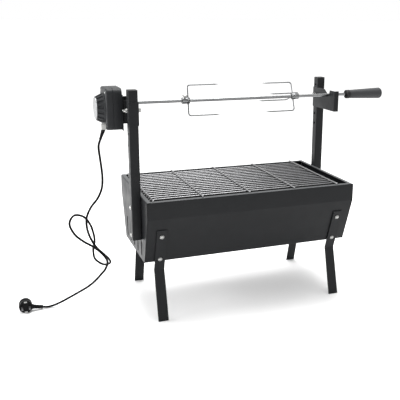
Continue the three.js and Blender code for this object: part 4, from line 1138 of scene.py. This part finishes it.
def make_end_disc():
    low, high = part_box("motor_end_disc")
    centre = Vector((high.x, 0, (low.z + high.z) / 2))
    r, depth = (high.z - low.z) / 2, high.x - low.x
    profile = [(0, 0), (r, 0), (r, 0.5 * depth), (0.985 * r, 0.75 * depth), (0.95 * r, 0.85 * depth)]
    profile += [(0.9 * r, 0.8 * depth), (0.86 * r, 0.86 * depth), (0.5 * r, 0.96 * depth)]
    profile += [(0.2 * r, depth), (0, depth)]
    disc = turned("motor_end_disc_spun", centre, -X_AXIS, profile, 64)
    look = spun_disc("spun_aluminium", (low.x, 0, centre.z))
    fit(disc, look, "root", "bright_disc", "motor_end_disc")


def make_shell_screws():
    low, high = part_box("motor_front_shell")
    centre = (low + high) / 2
    profile = [(0, 0), (2.9 * MM, 0), (2.9 * MM, 0.25 * MM), (2.4 * MM, 0.6 * MM)]
    profile += [(1.3 * MM, 0.75 * MM), (0.8 * MM, 0.2 * MM), (0, 0.1 * MM)]
    for i, (sy, sz) in enumerate(((1, 1), (-1, 1), (-1, -1), (1, -1))):
        y = sy * ((high.y - low.y) / 2 - SCREW_INSET)
        z = centre.z + sz * ((high.z - low.z) / 2 - SCREW_INSET)
        place = Vector((low.x, y, z))
        screw = turned(f"motor_shell_screw_{i + 1}", place, -X_AXIS, profile, 24)
        fit(screw, ZINC, "root", "zinc_fastener")


make_rear_shell()
make_front_shell()
make_end_cover()
make_end_disc()
make_shell_screws()
refined("cord_gland", GREY_PLASTIC, 0.8 * MM, 3)
refined("gearbox", RAW_STEEL, 0.8 * MM, 2)
refined("motor_coil", COPPER, 0.6 * MM, 2, 40)
refined("drive_sleeve", RAW_STEEL, 0.3 * MM, 2, 40)

# ------------------------------------------------------------------ floor and light


OBJECT_CENTRE = (0, 0, 0.3)
FLOOR_HALF_SIZE = 60.0
FLOOR_DROP = 0.0005
FLOOR_COLOURS = (0.90, 0.90, 0.90), (0.92, 0.92, 0.92)
# name, place, size, power
AREA_LIGHTS = (
    ("key_left", (-5.0, 0.9, 1.7), (4.0, 3.0), 330),
    ("top", (0.2, 0.5, 2.6), (1.8, 1.4), 70),
)
FILL_PLACE = (0.3, 0.5, 2.0)
FILL_ANGLE = 60
FILL_STRENGTH = 0.6
WORLD_STRENGTH = 1.0


def make_floor():
    size = FLOOR_HALF_SIZE
    corners = [(-size, -size, 0), (size, -size, 0), (size, size, 0), (-size, size, 0)]
    floor = make_object("floor", [Vector(c) for c in corners], [(0, 1, 2, 3)])
    floor.location.z = -FLOOR_DROP
    m = Nodes("pale_floor")
    m.link(m.mix(m.noise(3, 3), *FLOOR_COLOURS), m.shader.inputs["Base Color"])
    m.shader.inputs["Roughness"].default_value = 0.8
    m.shader.inputs["Specular IOR Level"].default_value = 0.1
    floor.data.materials.append(m.material)


def area_light(name, place, target, size, power):
    data = bpy.data.lights.new(name, "AREA")
    data.shape = "RECTANGLE"
    data.size, data.size_y = size
    data.energy = power
    light = bpy.data.objects.new(name, data)
    light.location = place
    light.rotation_euler = (Vector(target) - Vector(place)).to_track_quat("-Z", "Y").to_euler()
    bpy.context.scene.collection.objects.link(light)


def sun_light(name, place, angle, strength):
    """A very soft sun that shines from place towards the origin."""
    data = bpy.data.lights.new(name, "SUN")
    data.angle = math.radians(angle)
    data.energy = strength
    light = bpy.data.objects.new(name, data)
    light.rotation_euler = (-Vector(place)).to_track_quat("-Z", "Y").to_euler()
    bpy.context.scene.collection.objects.link(light)


def make_world():
    world = bpy.data.worlds.new("studio")
    world.use_nodes = True
    background = world.node_tree.nodes["Background"]
    background.inputs["Color"].default_value = (1, 1, 1, 1)
    background.inputs["Strength"].default_value = WORLD_STRENGTH
    bpy.context.scene.world = world


make_floor()
make_world()
for light_name, light_place, light_size, light_power in AREA_LIGHTS:
    area_light(light_name, light_place, OBJECT_CENTRE, light_size, light_power)
sun_light("fill", FILL_PLACE, FILL_ANGLE, FILL_STRENGTH)
bpy.context.scene.view_settings.view_transform = "Standard"
